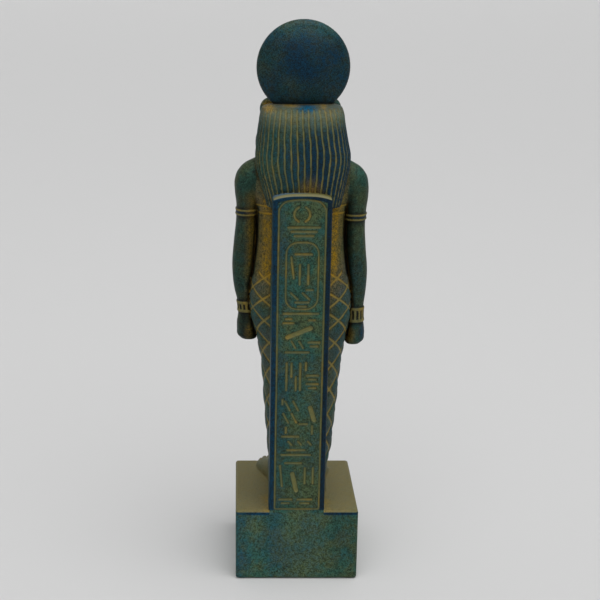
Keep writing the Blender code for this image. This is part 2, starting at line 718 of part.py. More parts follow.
# Plain marks of the panel in parts: kind, middle across and up, width, height.
# They are rows of plain strokes and stand for no sign.
MARKS = (
    ("curves", 0.2, 165.0, 8.2, 8.2),
    ("rows", -0.9, 156.0, 16.0, 4.4),
    ("bar", -1.0, 144.2, 8.4, 0.0),
    ("slant", 4.6, 137.0, 1.4, 11.0),
    ("pair", -1.4, 133.4, 4.4, 10.4),
    ("bar", -4.4, 125.2, 3.2, 0.0),
    ("slants", 0.4, 121.8, 9.6, 3.4),
    ("rows", -0.6, 117.4, 6.8, 2.2),
    ("bar", -0.2, 112.4, 18.0, 0.0),
    ("rows", 6.2, 108.4, 5.2, -2.2),
    ("bar", -6.0, 108.8, 3.2, 0.0),
    ("broad", 0.6, 102.0, -12.0, 5.0),
    ("slant", 3.4, 95.4, 2.0, 3.4),
    ("slant", -0.6, 95.4, 2.0, 3.4),
    ("bar", 1.4, 91.2, 12.0, 0.0),
    ("rows", -7.4, 95.6, 5.8, 2.2),
    ("post", 6.8, 77.6, 0.0, 15.0),
    ("post", 4.2, 81.4, 0.0, 7.4),
    ("post", -0.4, 77.6, 0.0, 15.0),
    ("post", 1.8, 73.8, 0.0, 7.4),
    ("post", -3.4, 83.4, 0.0, 4.0),
    ("rows", -6.9, 77.2, 5.8, 2.2),
    ("rows", -6.9, 72.4, 5.8, 2.2),
    ("post", 8.6, 63.4, 0.0, 2.6),
    ("slants", 3.8, 61.2, 7.0, 5.0),
    ("slants", 4.6, 54.2, 7.0, 5.0),
    ("post", 6.6, 47.4, 0.0, 3.0),
    ("bar", 4.2, 43.6, 8.8, 0.0),
    ("bar", -2.6, 50.8, 4.0, 0.0),
    ("broad", -7.2, 56.6, 2.2, 7.0),
    ("post", -7.4, 47.4, 0.0, 4.4),
    ("comb", -0.9, 39.8, 14.0, 1.8),
    ("rows", 1.0, 34.4, 15.4, -2.8),
    ("bar", 2.4, 28.2, 8.6, 0.0),
    ("slant", 8.8, 20.6, 1.2, 12.0),
    ("broad", 1.6, 17.0, 2.2, 9.6),
    ("pair", -6.2, 20.8, 4.4, 9.0),
    ("rows", 6.2, 5.6, 6.4, 2.2),
    ("rows", -4.2, 5.6, 7.6, 2.2),
)
# The strokes of one mark: how far rows stand apart and how much they taper, where two slanting
# strokes start and end, and how far a bent stroke turns
ROW_PITCH = 2.2
ROW_TAPER = 0.4
SLANT_SHARES = ((-1.0, -0.25), (0.25, 1.0))
CURVE_SPAN = 130
CURVE_STEPS = 5
COMB_SLANT = 0.8


def strokes(kind, x, h, width, height):
    """The middle lines of the strokes that make up one mark."""
    a = width / 2
    b = height / 2
    if kind == "bar":
        return [[(x - a, h), (x + a, h)]]
    if kind == "post":
        return [[(x, h - b), (x, h + b)]]
    if kind in ("slant", "broad"):
        return [[(x - a, h - b), (x + a, h + b)]]
    if kind == "pair":
        return [[(x + side * a, h - b), (x + side * a, h + b)] for side in (-1, 1)]
    if kind == "slants":
        return [[(x + near * a, h - b), (x + far * a, h + b)] for near, far in SLANT_SHARES]
    if kind == "curves":
        starts = (-CURVE_SPAN / 2, 180 - CURVE_SPAN / 2)
        return [arc((x, h), a, b, start, start + CURVE_SPAN, CURVE_STEPS) for start in starts]
    if kind == "comb":
        places = [x + side * a * 0.75 for side in (-1, 0, 1)]
        return [[(place - COMB_SLANT, h - b), (place + COMB_SLANT, h + b)] for place in places]
    # rows that get shorter downwards, or upwards for a height below 0
    count = max(2, round(abs(height) / ROW_PITCH) + 1)
    found = []
    for row in range(count):
        share = row / (count - 1)
        reach = a * (1 - ROW_TAPER * share)
        level = h + b - height * share
        found.append([(x - reach, level), (x + reach, level)])
    return found


def frame_cutter(collection):
    """The border line and the oval frame that are sunk into the pillar's rear face."""
    left, bottom, right, top = panel_frame()
    made = bmesh.new()
    line = PANEL_LINE_WIDTH
    ribbon(made, rounded_loop((left, bottom), (right, top), line, PANEL_CORNER), line, True)
    x, h, width, height, corner = OVAL
    low = on_panel(x - width / 2, h - height / 2)
    high = on_panel(x + width / 2, h + height / 2)
    ribbon(made, rounded_loop(low, high, corner * PART, corner * PART), line, True)
    return mesh_object("panel frames", made, collection)


def stroke_cutter(collection):
    """Rows of plain strokes that are sunk into the pillar's rear face."""
    made = bmesh.new()
    for kind, x, h, width, height in MARKS:
        line = BROAD_STROKE_WIDTH if kind == "broad" else STROKE_WIDTH
        for points in strokes(kind, x, h, width, height):
            ribbon(made, [on_panel(*point) for point in points], line)
    return mesh_object("panel strokes", made, collection)


def stone_material():
    material = bpy.data.materials.new("patinated cast stone")
    material.use_nodes = True
    surface = material.node_tree.nodes["Principled BSDF"]
    surface.inputs["Base Color"].default_value = (0.035, 0.085, 0.08, 1)
    surface.inputs["Roughness"].default_value = 0.62
    surface.inputs["Metallic"].default_value = 0.0
    return material


def build():
    for old in list(bpy.data.objects):
        bpy.data.objects.remove(old)
    statue_parts = new_collection("sekhmet statue")
    tools = new_collection("joined forms and cutters")
    statue = plinth_form(statue_parts)
    statue.data.materials.append(stone_material())
    forms = [pillar_form(tools), spine_form(tools), body_form(tools)]
    forms += [foot_form("left foot", LEFT_FOOT, tools), foot_form("right foot", RIGHT_FOOT, tools)]
    forms += [web_form("left web", 1, tools), web_form("right web", -1, tools)]
    forms.append(arm_form("left arm", LEFT_ARM, LEFT_BANDS, 1, tools))
    forms.append(arm_form("right arm", RIGHT_ARM, RIGHT_BANDS, -1, tools))
    forms += [round_form("left breast", BREAST, tools), round_form("right breast", BREAST, tools, -1)]
    forms.append(round_form("skull", SKULL, tools, sides=16, levels=10))
    forms.append(round_form("throat", THROAT, tools, sides=12, levels=8))
    forms.append(round_form("left temple", TEMPLE, tools, 1, 10, 6))
    forms.append(round_form("right temple", TEMPLE, tools, -1, 10, 6))
    forms.append(wig_form(tools))
    forms += [lappet_form("left lappet", 1, tools), lappet_form("right lappet", -1, tools)]
    forms.append(disk_form(tools))
    forms.append(ruff_form(tools))
    forms.append(snout_form(tools))
    forms.append(round_form("chin", CHIN, tools))
    forms.append(round_form("nose tip", NOSE_TIP, tools, sides=10, levels=6))
    for name, place in (("brow", BROW), ("eye", EYE), ("cheek", CHEEK), ("ear", EAR)):
        forms.append(round_form("left " + name, place, tools, 1, 10, 6))
        forms.append(round_form("right " + name, place, tools, -1, 10, 6))
    forms.append(cobra_form(tools))
    for form in forms:
        joined = statue.modifiers.new("join " + form.name, "BOOLEAN")
        joined.operation = "UNION"
        joined.solver = "MANIFOLD" if form.name in FINE_JOINS else "EXACT"
        joined.object = as_tool(form)
    for cutter in (frame_cutter(tools), stroke_cutter(tools)):
        carved = statue.modifiers.new("carve " + cutter.name, "BOOLEAN")
        carved.operation = "DIFFERENCE"
        carved.solver = "EXACT"
        carved.object = as_tool(cutter)


build()
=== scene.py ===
import math

import bpy
import numpy as np
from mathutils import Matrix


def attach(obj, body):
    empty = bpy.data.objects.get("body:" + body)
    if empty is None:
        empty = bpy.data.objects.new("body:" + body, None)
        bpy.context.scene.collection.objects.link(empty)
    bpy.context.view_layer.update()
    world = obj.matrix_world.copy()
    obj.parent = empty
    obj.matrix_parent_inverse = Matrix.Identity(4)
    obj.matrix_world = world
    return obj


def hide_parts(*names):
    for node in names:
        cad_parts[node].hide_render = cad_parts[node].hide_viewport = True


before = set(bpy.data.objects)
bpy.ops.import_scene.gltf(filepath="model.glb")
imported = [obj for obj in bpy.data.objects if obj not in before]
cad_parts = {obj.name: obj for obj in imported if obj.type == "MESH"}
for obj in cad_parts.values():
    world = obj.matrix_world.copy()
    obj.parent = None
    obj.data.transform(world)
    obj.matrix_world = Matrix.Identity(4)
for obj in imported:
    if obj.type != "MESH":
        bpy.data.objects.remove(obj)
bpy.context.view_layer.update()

# Sizes of the statue in millimetres, as its solid has them
PLINTH = (67.0, 68.0, 41.3)
PLINTH_EDGE = 1.6
PILLAR_WIDTH = 30.2
PILLAR_DEPTH = 14.0
PILLAR_HEIGHT = 174.8
PILLAR_X = -0.6
PILLAR_EDGE = 1.2
PILLAR_CROWN_RISE = 2.2
PILLAR_LEAN = 0.9
PANEL_MARGIN = 3.1
PANEL_TOP_MARGIN = 2.3
PANEL_BOTTOM_MARGIN = 1.1
PANEL_CORNER = 4.6
PANEL_LOW_CORNER = 0.9
CORNER_STEPS = 6
PANEL_TOP_SAG = 1.9
PANEL_LINE_WIDTH = 0.75
OVAL_LINE_WIDTH = 0.825
STROKE_WIDTH = 1.1
BROAD_STROKE_WIDTH = 2.4
CARVING_DEPTH = 0.75
DISK_DIAMETER = 48.0
DISK_THICKNESS = 17.0
DISK_RIM = 3.5
DISK_SEAT = 6.0
CROWN_HEIGHT = 218.0
REAR_Y = PLINTH[1] / 2
AXIS_Y = REAR_Y - PILLAR_DEPTH - 14.0
SOLE_Z = PLINTH[2]
HEAD_X = -0.6
DISK_X = -1.2
DISK_Y = 1.0

# Sections of the body: height, edge at +X, edge at -X, front, back
BODY = (
    (-2, 14.2, -16.2, -14.0, 9.0),
    (5, 14.2, -16.4, -14.0, 9.5),
    (14, 14.4, -17.0, -14.0, 10.0),
    (25, 14.9, -19.1, -14.8, 11.0),
    (40, 16.1, -20.4, -16.0, 12.0),
    (54, 17.2, -21.8, -17.2, 12.5),
    (68, 18.1, -22.8, -17.4, 13.0),
    (82, 19.6, -24.3, -17.0, 14.8),
    (94, 22.2, -26.1, -17.0, 16.6),
    (104, 25.0, -27.9, -16.6, 17.6),
    (112, 25.9, -28.3, -16.0, 17.6),
    (122, 25.6, -27.5, -15.0, 16.2),
    (132, 24.3, -25.9, -14.0, 14.2),
    (141, 23.0, -24.9, -13.4, 13.0),
    (153, 22.6, -24.8, -14.4, 13.2),
    (163, 23.8, -26.2, -16.6, 14.2),
    (172, 26.0, -28.5, -16.4, 14.6),
    (180, 26.6, -29.4, -13.2, 13.6),
    (186, 21.6, -24.6, -10.6, 11.6),
    (191, 13.0, -15.0, -9.0, 9.6),
    (200, 12.0, -13.0, -9.0, 9.0),
)
BODY_SQUARENESS = 2.3
NET_LOZENGES = 8
NET_TOP = 126.0
NET_TOP_ARCH = 17.0
NET_BOTTOM = 5.0
NET_LOW_PITCH = 14.6
NET_HIGH_PITCH = 11.2
NET_ACROSS = 10.0
NET_LOW_LEVEL = 80.0
NET_HIGH_LEVEL = 108.0
NET_ANCHOR = 63.5
NET_RELIEF = 0.9
NET_THREAD = 0.5
# Heights of the hems across the back; the collar's centre height, radius and ring width
HEMS = (161.6, 165.6)
COLLAR = (196.0, 39.0, 3.6)

# Sections of the arms: height, outer and inner edge of the left one, the same of the right one, then
# the front and back that both share
ARMS = (
    (89.6, 30.4, 21.8, 86.8, 34.4, 26.4, -8.2, 1.6),
    (91.2, 32.2, 21.2, 88.4, 36.2, 25.6, -9.8, 2.8),
    (95.2, 32.8, 21.2, 92.0, 36.9, 25.2, -10.2, 3.4),
    (99.0, 32.8, 21.6, 96.4, 36.6, 25.4, -9.6, 3.4),
    (104.5, 32.1, 22.6, 101.0, 35.9, 26.2, -7.4, 3.0),
    (111.0, 32.5, 23.0, 108.0, 35.8, 26.2, -6.2, 3.4),
    (118.0, 34.1, 23.0, 116.0, 36.6, 25.8, -6.2, 4.4),
    (131.0, 35.3, 23.4, 128.0, 37.1, 25.6, -6.2, 5.8),
    (145.0, 34.4, 22.8, 142.0, 35.9, 24.6, -6.6, 6.4),
    (157.0, 33.2, 22.0, 154.0, 35.2, 23.8, -7.2, 7.0),
    (165.0, 33.1, 21.2, 162.0, 35.6, 23.0, -7.8, 7.6),
    (172.0, 33.9, 19.6, 169.0, 36.4, 22.0, -8.4, 8.4),
    (178.0, 33.9, 17.6, 175.0, 36.4, 20.0, -8.4, 8.8),
    (183.4, 31.8, 15.6, 181.0, 34.9, 18.0, -7.2, 8.0),
    (187.0, 28.2, 14.0, 185.0, 31.6, 16.0, -5.0, 6.4),
    (189.5, 23.4, 13.0, 188.0, 26.6, 14.0, -3.0, 4.6),
)
LEFT_ARM = [row[:3] + row[6:] for row in ARMS]
RIGHT_ARM = [row[3:] for row in ARMS]
# Each arm's bracelet and armlet: lower edge, upper edge
LEFT_BRACELET = (105.4, 111.6)
LEFT_ARMLET = (159.6, 162.8)
RIGHT_BRACELET = (99.8, 108.0)
RIGHT_ARMLET = (157.0, 160.2)
BAND_RELIEF = 0.6
BRACELET_BARS = 14
ARM_SQUARENESS = 2.2
FINGER_WIDTH = 3.4
# The walls between the arms and the waist: inner and outer edge, front, back
WEB = (20.0, 29.0, -3.2, 1.6)
WEB_BOTTOM = 92.0
WEB_TOP = 176.0
# Between these heights an arm's crease beside the body turns into the shoulder's fillet
SHOULDER_JOIN = (160.0, 170.0)
SHOULDER_FILLET = 2.0
# The stone behind the back: half width, front, back, lower and upper end
SPINE = (11.2, 2.0, 15.0, -4.0, 172.0)

# Sections of the wig, as the body's
WIG = (
    (166, 17.2, -21.0, 4.0, 21.2),
    (172, 18.8, -22.2, 3.0, 22.4),
    (179, 20.8, -23.8, 1.0, 23.0),
    (186, 22.8, -25.4, -3.0, 23.0),
    (192, 23.4, -26.0, -8.0, 22.6),
    (198, 22.8, -25.0, -12.0, 21.8),
    (204, 22.3, -23.9, -13.0, 20.6),
    (209, 21.6, -23.0, -11.0, 19.2),
    (213, 21.0, -22.4, -8.0, 16.6),
    (215, 20.4, -21.8, -6.0, 13.4),
    (216.6, 19.2, -20.6, -4.0, 9.6),
    (217.4, 17.0, -18.4, -2.0, 6.4),
)
WIG_FLUTES = 46
WIG_FLUTE_DEPTH = 0.8
WIG_SQUARENESS = 2.4
# Sections of a front fall of the wig: height, outer and inner edge, front, back
LAPPET = (
    (151, 18.6, 7.2, -19.6, -11.0),
    (160, 19.4, 7.4, -21.4, -11.0),
    (170, 20.6, 7.6, -21.4, -9.0),
    (180, 22.0, 7.8, -20.0, -6.0),
    (190, 23.2, 8.2, -18.4, -4.0),
    (200, 23.2, 9.0, -14.6, -2.0),
    (204, 21.8, 9.4, -12.6, -1.0),
)
LAPPET_STRANDS = 5
LAPPET_SQUARENESS = 4.0

# Forms of the head and chest: middle across, back and up, and the three radii
SKULL = ((0.0, -8.0, 203.0), (14.4, 14.2, 13.6))
THROAT = ((0.0, -5.0, 196.0), (21.0, 11.0, 17.0))
CHIN = ((0.0, -24.4, 191.6), (3.8, 4.6, 2.8))
NOSE_TIP = ((0.0, -29.4, 200.0), (3.3, 2.2, 1.8))
TEMPLE = ((15.0, -8.0, 204.5), (6.4, 4.6, 6.0))
LIP = ((2.9, -26.6, 196.6), (3.6, 4.4, 2.9))
BROW = ((6.0, -18.4, 207.4), (4.8, 3.0, 1.8))
EYE = ((6.8, -19.8, 203.4), (2.7, 2.2, 1.7))
CHEEK = ((8.8, -16.2, 196.6), (5.0, 5.2, 5.8))
# What is added to the muzzle, in turn, with the width of its fillet
FACE = ((LIP, 1.6), (CHIN, 1.2), (NOSE_TIP, 0.9), (TEMPLE, 2.0), (CHEEK, 3.0), (BROW, 2.4), (EYE, 0.4))
MOUTH_HEIGHT = 194.3
EAR = ((16.0, -10.0, 213.4), (5.4, 3.2, 6.0))
EAR_BOWL = ((15.8, -13.4, 213.4), (3.1, 2.4, 3.9))
BREAST = ((10.4, -12.6, 160.0), (7.6, 6.4, 7.4))
# Sections of the muzzle from the ears forward: distance in front, both sides, underside, top
SNOUT = (
    (6.0, 13.4, -13.4, 187.0, 211.0),
    (12.0, 12.6, -12.6, 187.6, 210.6),
    (17.0, 10.4, -10.4, 188.8, 208.8),
    (21.0, 8.0, -8.0, 190.0, 205.6),
    (25.0, 6.7, -6.7, 191.2, 202.8),
    (28.5, 5.8, -5.8, 192.6, 201.2),
    (30.6, 4.0, -4.0, 194.2, 199.8),
)
SNOUT_SQUARENESS = 2.2
RUFF_CENTRE = (HEAD_X, -12.0, 200.0)
RUFF_LOCKS = 22
RUFF_INNER = 9.0
RUFF_OUTER = 21.6
RUFF_THICKNESS = 8.0
RUFF_LEAN = 2.4
RUFF_SQUASH = 0.86
# The cobra's body from the wig to the head: place from front to back, height, radius
COBRA = (
    (-9.0, 215.0, 1.5),
    (-14.0, 214.6, 1.9),
    (-17.2, 218.0, 2.4),
    (-15.4, 222.6, 2.6),
    (-14.8, 227.0, 1.5),
)
COBRA_HOOD = ((0.0, -16.6, 220.4), (3.0, 1.6, 4.6))
COBRA_SNOUT = ((0.0, -17.0, 226.4), (1.5, 2.4, 1.4))
COBRA_RIB = 1.5
# Sections of the feet: place from back to front, middle, half width, height
LEFT_FOOT = (
    (6.0, 7.4, 3.2, 3.0),
    (3.0, 7.6, 4.8, 8.6),
    (-4.0, 8.2, 5.4, 11.4),
    (-13.0, 10.0, 5.5, 12.0),
    (-21.0, 12.2, 6.3, 9.2),
    (-28.0, 13.8, 7.1, 6.8),
    (-32.5, 14.2, 7.1, 5.6),
    (-36.0, 13.8, 6.4, 4.6),
    (-38.0, 13.4, 4.8, 2.8),
)
RIGHT_FOOT = (
    (8.0, -11.0, 3.4, 3.0),
    (5.0, -11.2, 5.4, 9.0),
    (-2.0, -11.6, 6.2, 12.0),
    (-10.0, -12.2, 5.8, 12.6),
    (-17.0, -13.0, 6.0, 8.4),
    (-23.0, -13.8, 6.8, 5.6),
    (-27.0, -14.2, 6.9, 4.4),
    (-30.0, -14.0, 6.2, 3.8),
    (-32.0, -13.6, 4.6, 2.4),
)
TOES = 5

# The sampling grid, and the triangles that the finished piece may have
STEP = 0.42
GRID_LOW = (-40.5, -37.5, -1.5)
GRID_HIGH = (39.5, 37.0, 304.0)
FAR = 4.0
LINE_STOP = 9.0
MARGIN = 3.0
TRIANGLES = 190000
METRES = 0.001


def smooth_step(low, high, value):
    """A smooth rise from 0 at one level to 1 at the other, whichever of them is higher."""
    t = np.clip((value - low) / (high - low), 0, 1)
    return t * t * (3 - 2 * t)


def fade(low, high, value):
    """A smooth fall from 1 at one level to 0 at the other."""
    return 1 - smooth_step(low, high, value)


def between(value, low, high, outer, inner):
    """1 between two levels; it fades from a little inside each to a little outside."""
    return smooth_step(low - outer, low + inner, value) * fade(high - inner, high + outer, value)


def ends_gap(value, ends, inset):
    """How far values are from the nearer of two ends, each moved in by an inset."""
    return np.minimum(np.abs(value - ends[0] - inset), np.abs(value - ends[1] + inset))


def stop(value, start, end):
    """A large gap from a level on, so that a drawn line ends there."""
    return LINE_STOP * smooth_step(start, end, value)


def smooth_table(table, heights):
    """Columns of a table of sections at an array of heights, on a smooth curve through its rows."""
    rows = np.array(table, np.float64)
    levels = rows[:, 0]
    slopes = np.gradient(rows[:, 1:], levels, axis=0)
    shape = heights.shape
    flat = heights.ravel()
    at = np.clip(np.searchsorted(levels, flat) - 1, 0, len(levels) - 2)
    span = levels[at + 1] - levels[at]
    t = np.clip((flat - levels[at]) / span, 0, 1)
    low = (1 + 2 * t) * (1 - t) ** 2
    low_slope = t * (1 - t) ** 2 * span
    high = t * t * (3 - 2 * t)
    high_slope = t * t * (t - 1) * span
    columns = []
    for column in range(1, rows.shape[1]):
        value = low * rows[at, column] + low_slope * slopes[at, column - 1]
        value += high * rows[at + 1, column] + high_slope * slopes[at + 1, column - 1]
        columns.append(value.reshape(shape).astype(np.float32))
    return columns


def loft(x, y, h, table, squareness):
    """Distance to a loft with the table's sections, and the angle round it from the back to +X."""
    plus, minus, front, back = smooth_table(table, h)
    dx = x - (plus + minus) / 2
    dy = y - (front + back) / 2
    half_x = abs(plus - minus) / 2
    half_y = abs(back - front) / 2
    px = np.abs(dx / half_x) ** (squareness / 2)
    py = np.abs(dy / half_y) ** (squareness / 2)
    reach = np.maximum((px * px + py * py) ** (1 / squareness), 1e-3)
    rho = np.sqrt(dx * dx + dy * dy)
    distance = rho * (1 - 1 / reach)
    ends = np.maximum(table[0][0] - h, h - table[-1][0])
    turn = np.arctan2(np.copysign(px, dx), np.copysign(py, dy))
    return np.maximum(distance, ends), turn


def ellipsoid(x, y, h, place, side=1):
    (cx, cy, ch), (rx, ry, rh) = place
    qx = (x - HEAD_X - side * cx) / rx
    qy = (y - cy) / ry
    qh = (h - ch) / rh
    k0 = np.sqrt(qx * qx + qy * qy + qh * qh)
    k1 = np.sqrt((qx / rx) ** 2 + (qy / ry) ** 2 + (qh / rh) ** 2)
    return k0 * (k0 - 1) / np.maximum(k1, 1e-4)


def rounded_box(x, y, z, low, high, radius):
    q = []
    for value, a, b in ((x, low[0], high[0]), (y, low[1], high[1]), (z, low[2], high[2])):
        q.append(np.abs(value - (a + b) / 2) - ((b - a) / 2 - radius))
    outside = np.sqrt(sum(np.maximum(v, 0) ** 2 for v in q))
    inside = np.minimum(np.maximum(np.maximum(q[0], q[1]), q[2]), 0)
    return outside + inside - radius


def capsule(x, y, h, a, b, radius_a, radius_b):
    ab = [b[i] - a[i] for i in range(3)]
    length = sum(v * v for v in ab)
    t = ((x - a[0]) * ab[0] + (y - a[1]) * ab[1] + (h - a[2]) * ab[2]) / length
    t = np.clip(t, 0, 1)
    gap = (x - a[0] - t * ab[0]) ** 2 + (y - a[1] - t * ab[1]) ** 2 + (h - a[2] - t * ab[2]) ** 2
    return np.sqrt(gap) - (radius_a + (radius_b - radius_a) * t)


def blend(a, b, width):
    """The smaller of two distances, with a fillet of a width where they meet, or a crease below 0."""
    h = np.maximum(abs(width) - np.abs(a - b), 0) / np.maximum(abs(width), 0.05)
    return np.minimum(a, b) - h * h * width / 4


def net_phase(height):
    """Lozenges between the net's anchor and a height; they get shorter on the hips."""

    def turns_to(level):
        low = np.minimum(level, NET_LOW_LEVEL) / NET_LOW_PITCH
        middle = np.clip(level, NET_LOW_LEVEL, NET_HIGH_LEVEL) - NET_LOW_LEVEL
        high = np.maximum(level - NET_HIGH_LEVEL, 0) / NET_HIGH_PITCH
        return low + 2 * middle / (NET_LOW_PITCH + NET_HIGH_PITCH) + high

    return turns_to(height) - turns_to(NET_ANCHOR)


def body(x, y, h):
    """Legs in the netted dress, hips, waist, chest and neck."""
    distance, turn = loft(x, y, h, BODY, BODY_SQUARENESS)
    around = turn / (2 * math.pi) * NET_LOZENGES
    along = net_phase(h)
    threads = []
    for diagonal in (around + along, around - along):
        threads.append(np.abs(diagonal - np.round(diagonal)))
    nearest = np.minimum(threads[0], threads[1]) * NET_ACROSS
    top = NET_TOP + NET_TOP_ARCH * np.cos(turn) ** 2
    netted = smooth_step(NET_BOTTOM - 0.5, NET_BOTTOM + 0.5, h) * fade(top - 3, top + 1, h)
    cushion = smooth_step(0.0, 3.6, nearest)
    relief = NET_RELIEF * (0.45 + 0.55 * cushion) * smooth_step(0.0, NET_THREAD * 1.6, nearest)
    groove = fade(NET_THREAD * 0.5, NET_THREAD * 1.7, nearest) * netted
    hem = smooth_step(2.5, 3.2, h) * fade(NET_BOTTOM - 0.3, NET_BOTTOM + 0.3, h)
    # the dress's upper hems, and on the chest the rings of a broad collar
    seams = np.minimum(np.abs(h - HEMS[0]), np.abs(h - HEMS[1])) + stop(y, 6.0, 4.0)
    ring = np.hypot(x - HEAD_X, h - COLLAR[0])
    rings = np.abs(np.mod(ring + COLLAR[2] / 2, COLLAR[2]) - COLLAR[2] / 2)
    rings = rings + stop(ring, COLLAR[1], COLLAR[1] + 0.1) + stop(y, -4.0, -3.0) + stop(h, 180.0, 181.0)
    lines = fade(0.15, 0.75, np.minimum(seams, rings))
    return distance - relief * netted - 0.4 * hem + 0.35 * lines, np.maximum(groove, lines)


def spine(x, y, h):
    """The stone between the figure's back and its pillar."""
    half_width, front, back, bottom, top = SPINE
    distance = rounded_box(x, y, h, (-half_width, front, bottom), (half_width, back, top), 0.5)
    return distance, np.zeros_like(distance)


def arm(x, y, h, table, side, bracelet, armlet):
    """One straight arm with bracelet, armlet and fist; its second value is gilt paint above 0 and, below 0,
    painted shade in the bands' recesses, along their edges and in the fingers' creases.
    """
    distance, turn = loft(side * x, y, h, table, ARM_SQUARENESS)
    low, high = bracelet
    inside = between(h, low, high, 0.3, 0.2)
    rims = fade(0.7, 1.1, ends_gap(h, bracelet, 0.7))
    bars = smooth_step(-0.15, 0.25, np.cos(turn * BRACELET_BARS))
    band = inside * BAND_RELIEF * (0.25 + 0.75 * np.maximum(rims, 0.8 * bars))
    low, high = armlet
    plain = between(h, low, high, 0.3, 0.1)
    edges = fade(0.35, 0.6, ends_gap(h, armlet, 0.4))
    band = band + plain * BAND_RELIEF * (0.55 + 0.45 * edges)
    halo = np.minimum(ends_gap(h, armlet, -0.6), ends_gap(h, bracelet, -0.6))
    gilt = 0.75 * (inside * np.maximum(rims, bars) + plain * edges)
    # painted shade: darker in the bands' sunk parts and in a thin line just beyond each band's edges
    dark = inside * (1 - np.maximum(rims, bars)) + 0.35 * plain * (1 - edges)
    dark = dark + 0.9 * fade(0.2, 0.8, halo)
    gilt_and_shade = gilt - dark * (1 - gilt)
    # fingers curl across the front and the inner side of the fist; their creases are darkened as painted
    # shade
    fist_top = bracelet[0] - 3.0
    fist = fade(fist_top - 1.0, fist_top + 1.0, h)
    fingers = np.abs(np.sin((h - table[0][0] - 1.0) * math.pi / FINGER_WIDTH))
    forward = fade(-0.5, 0.4, np.cos(turn))
    crease = fade(0.0, 0.34, fingers) * fist * forward
    return distance - band + 0.55 * crease, np.where(crease > 0.1, -0.7 * crease, gilt_and_shade)


def left_arm(x, y, h):
    return arm(x, y, h, LEFT_ARM, 1, LEFT_BRACELET, LEFT_ARMLET)


def right_arm(x, y, h):
    return arm(x, y, h, RIGHT_ARM, -1, RIGHT_BRACELET, RIGHT_ARMLET)


def web(x, y, h):
    """The thin walls left standing between the arms and the waist."""
    inner, outer, front, back = WEB
    distance = rounded_box(np.abs(x), y, h, (inner, front, WEB_BOTTOM), (outer, back, WEB_TOP), 0.6)
    return distance, np.zeros_like(distance)


def wig(x, y, h):
    """The striped wig at the back and the sides."""
    distance, _ = loft(x, y, h, WIG, WIG_SQUARENESS)
    plus, minus, front, back = smooth_table(WIG, h)
    turn = np.arctan2((x - (plus + minus) / 2) / (plus - minus), (y - (front + back) / 2) / (back - front))
    wobble = 0.3 * np.sin(h * 0.11 + turn * 3) + 0.22 * np.sin(h * 0.41 - turn * 7)
    wobble = wobble + 0.12 * np.sin(h * 0.9 + turn * 16)
    wave = 0.5 + 0.5 * np.cos(turn * WIG_FLUTES + wobble)
    valley = wave**7
    below = fade(214.6, 216.4, h)
    shape = distance + WIG_FLUTE_DEPTH * (valley + 0.25 * wave) * below
    return shape, smooth_step(0.12, 0.6, valley) * below


def lappets(x, y, h):
    """The two front falls of the wig, with upright strands."""
    side = np.abs(x - HEAD_X)
    outer, inner, front, back = smooth_table(LAPPET, h)
    distance, _ = loft(side, y, h, LAPPET, LAPPET_SQUARENESS)
    across = (side - inner) / (outer - inner) * LAPPET_STRANDS
    valley = (0.5 + 0.5 * np.cos(2 * math.pi * across)) ** 2.2
    facing = fade(-2.0, 2.0, y - (front + back) / 2)
    strands = smooth_step(154.0, 155.0, h)
    band = fade(0.2, 0.6, np.abs(h - 154.2))
    groove = smooth_step(0.25, 0.8, np.maximum(valley * strands, band * 0.9) * facing)
    return distance + 0.65 * valley * strands * facing + 0.35 * band * facing, groove


def breasts(x, y, h):
    left = ellipsoid(x, y, h, BREAST, 1)
    right = ellipsoid(x, y, h, BREAST, -1)
    return np.minimum(left, right), np.zeros_like(left)


def ruff(x, y, h):
    """The mane: radial locks in a ring around the face."""
    cx, cy, ch = RUFF_CENTRE
    dx = x - cx
    dh = (h - ch) / RUFF_SQUASH
    radius = np.sqrt(dx * dx + dh * dh)
    turn = np.arctan2(dh, dx)
    notch = (1 - np.abs(np.sin(turn * RUFF_LOCKS / 2))) ** 1.8
    hair = (1 - np.abs(np.sin(turn * RUFF_LOCKS * 1.5))) ** 2
    share = np.clip((radius - RUFF_INNER) / (RUFF_OUTER - RUFF_INNER), 0, 1)
    outer = RUFF_OUTER - 1.5 * notch
    carved = 1.0 * notch * smooth_step(0.15, 0.6, share) + 0.3 * hair * smooth_step(0.3, 0.7, share)
    front = cy - RUFF_THICKNESS / 2 - RUFF_LEAN * (1 - share) + 2.2 * smooth_step(0.4, 1.0, share) + carved
    back = cy + RUFF_THICKNESS / 2
    q_radius = radius - outer + 2.4
    q_depth = np.abs(y - (front + back) / 2) - (back - front) / 2 + 2.4
    outside = np.sqrt(np.maximum(q_radius, 0) ** 2 + np.maximum(q_depth, 0) ** 2)
    distance = outside + np.minimum(np.maximum(q_radius, q_depth), 0) - 2.4
    groove = np.maximum(smooth_step(0.35, 0.9, notch), 0.6 * smooth_step(0.4, 0.9, hair))
    return distance, groove * smooth_step(0.2, 0.5, share)


def soft_max(a, b, width):
    return -blend(-a, -b, width)


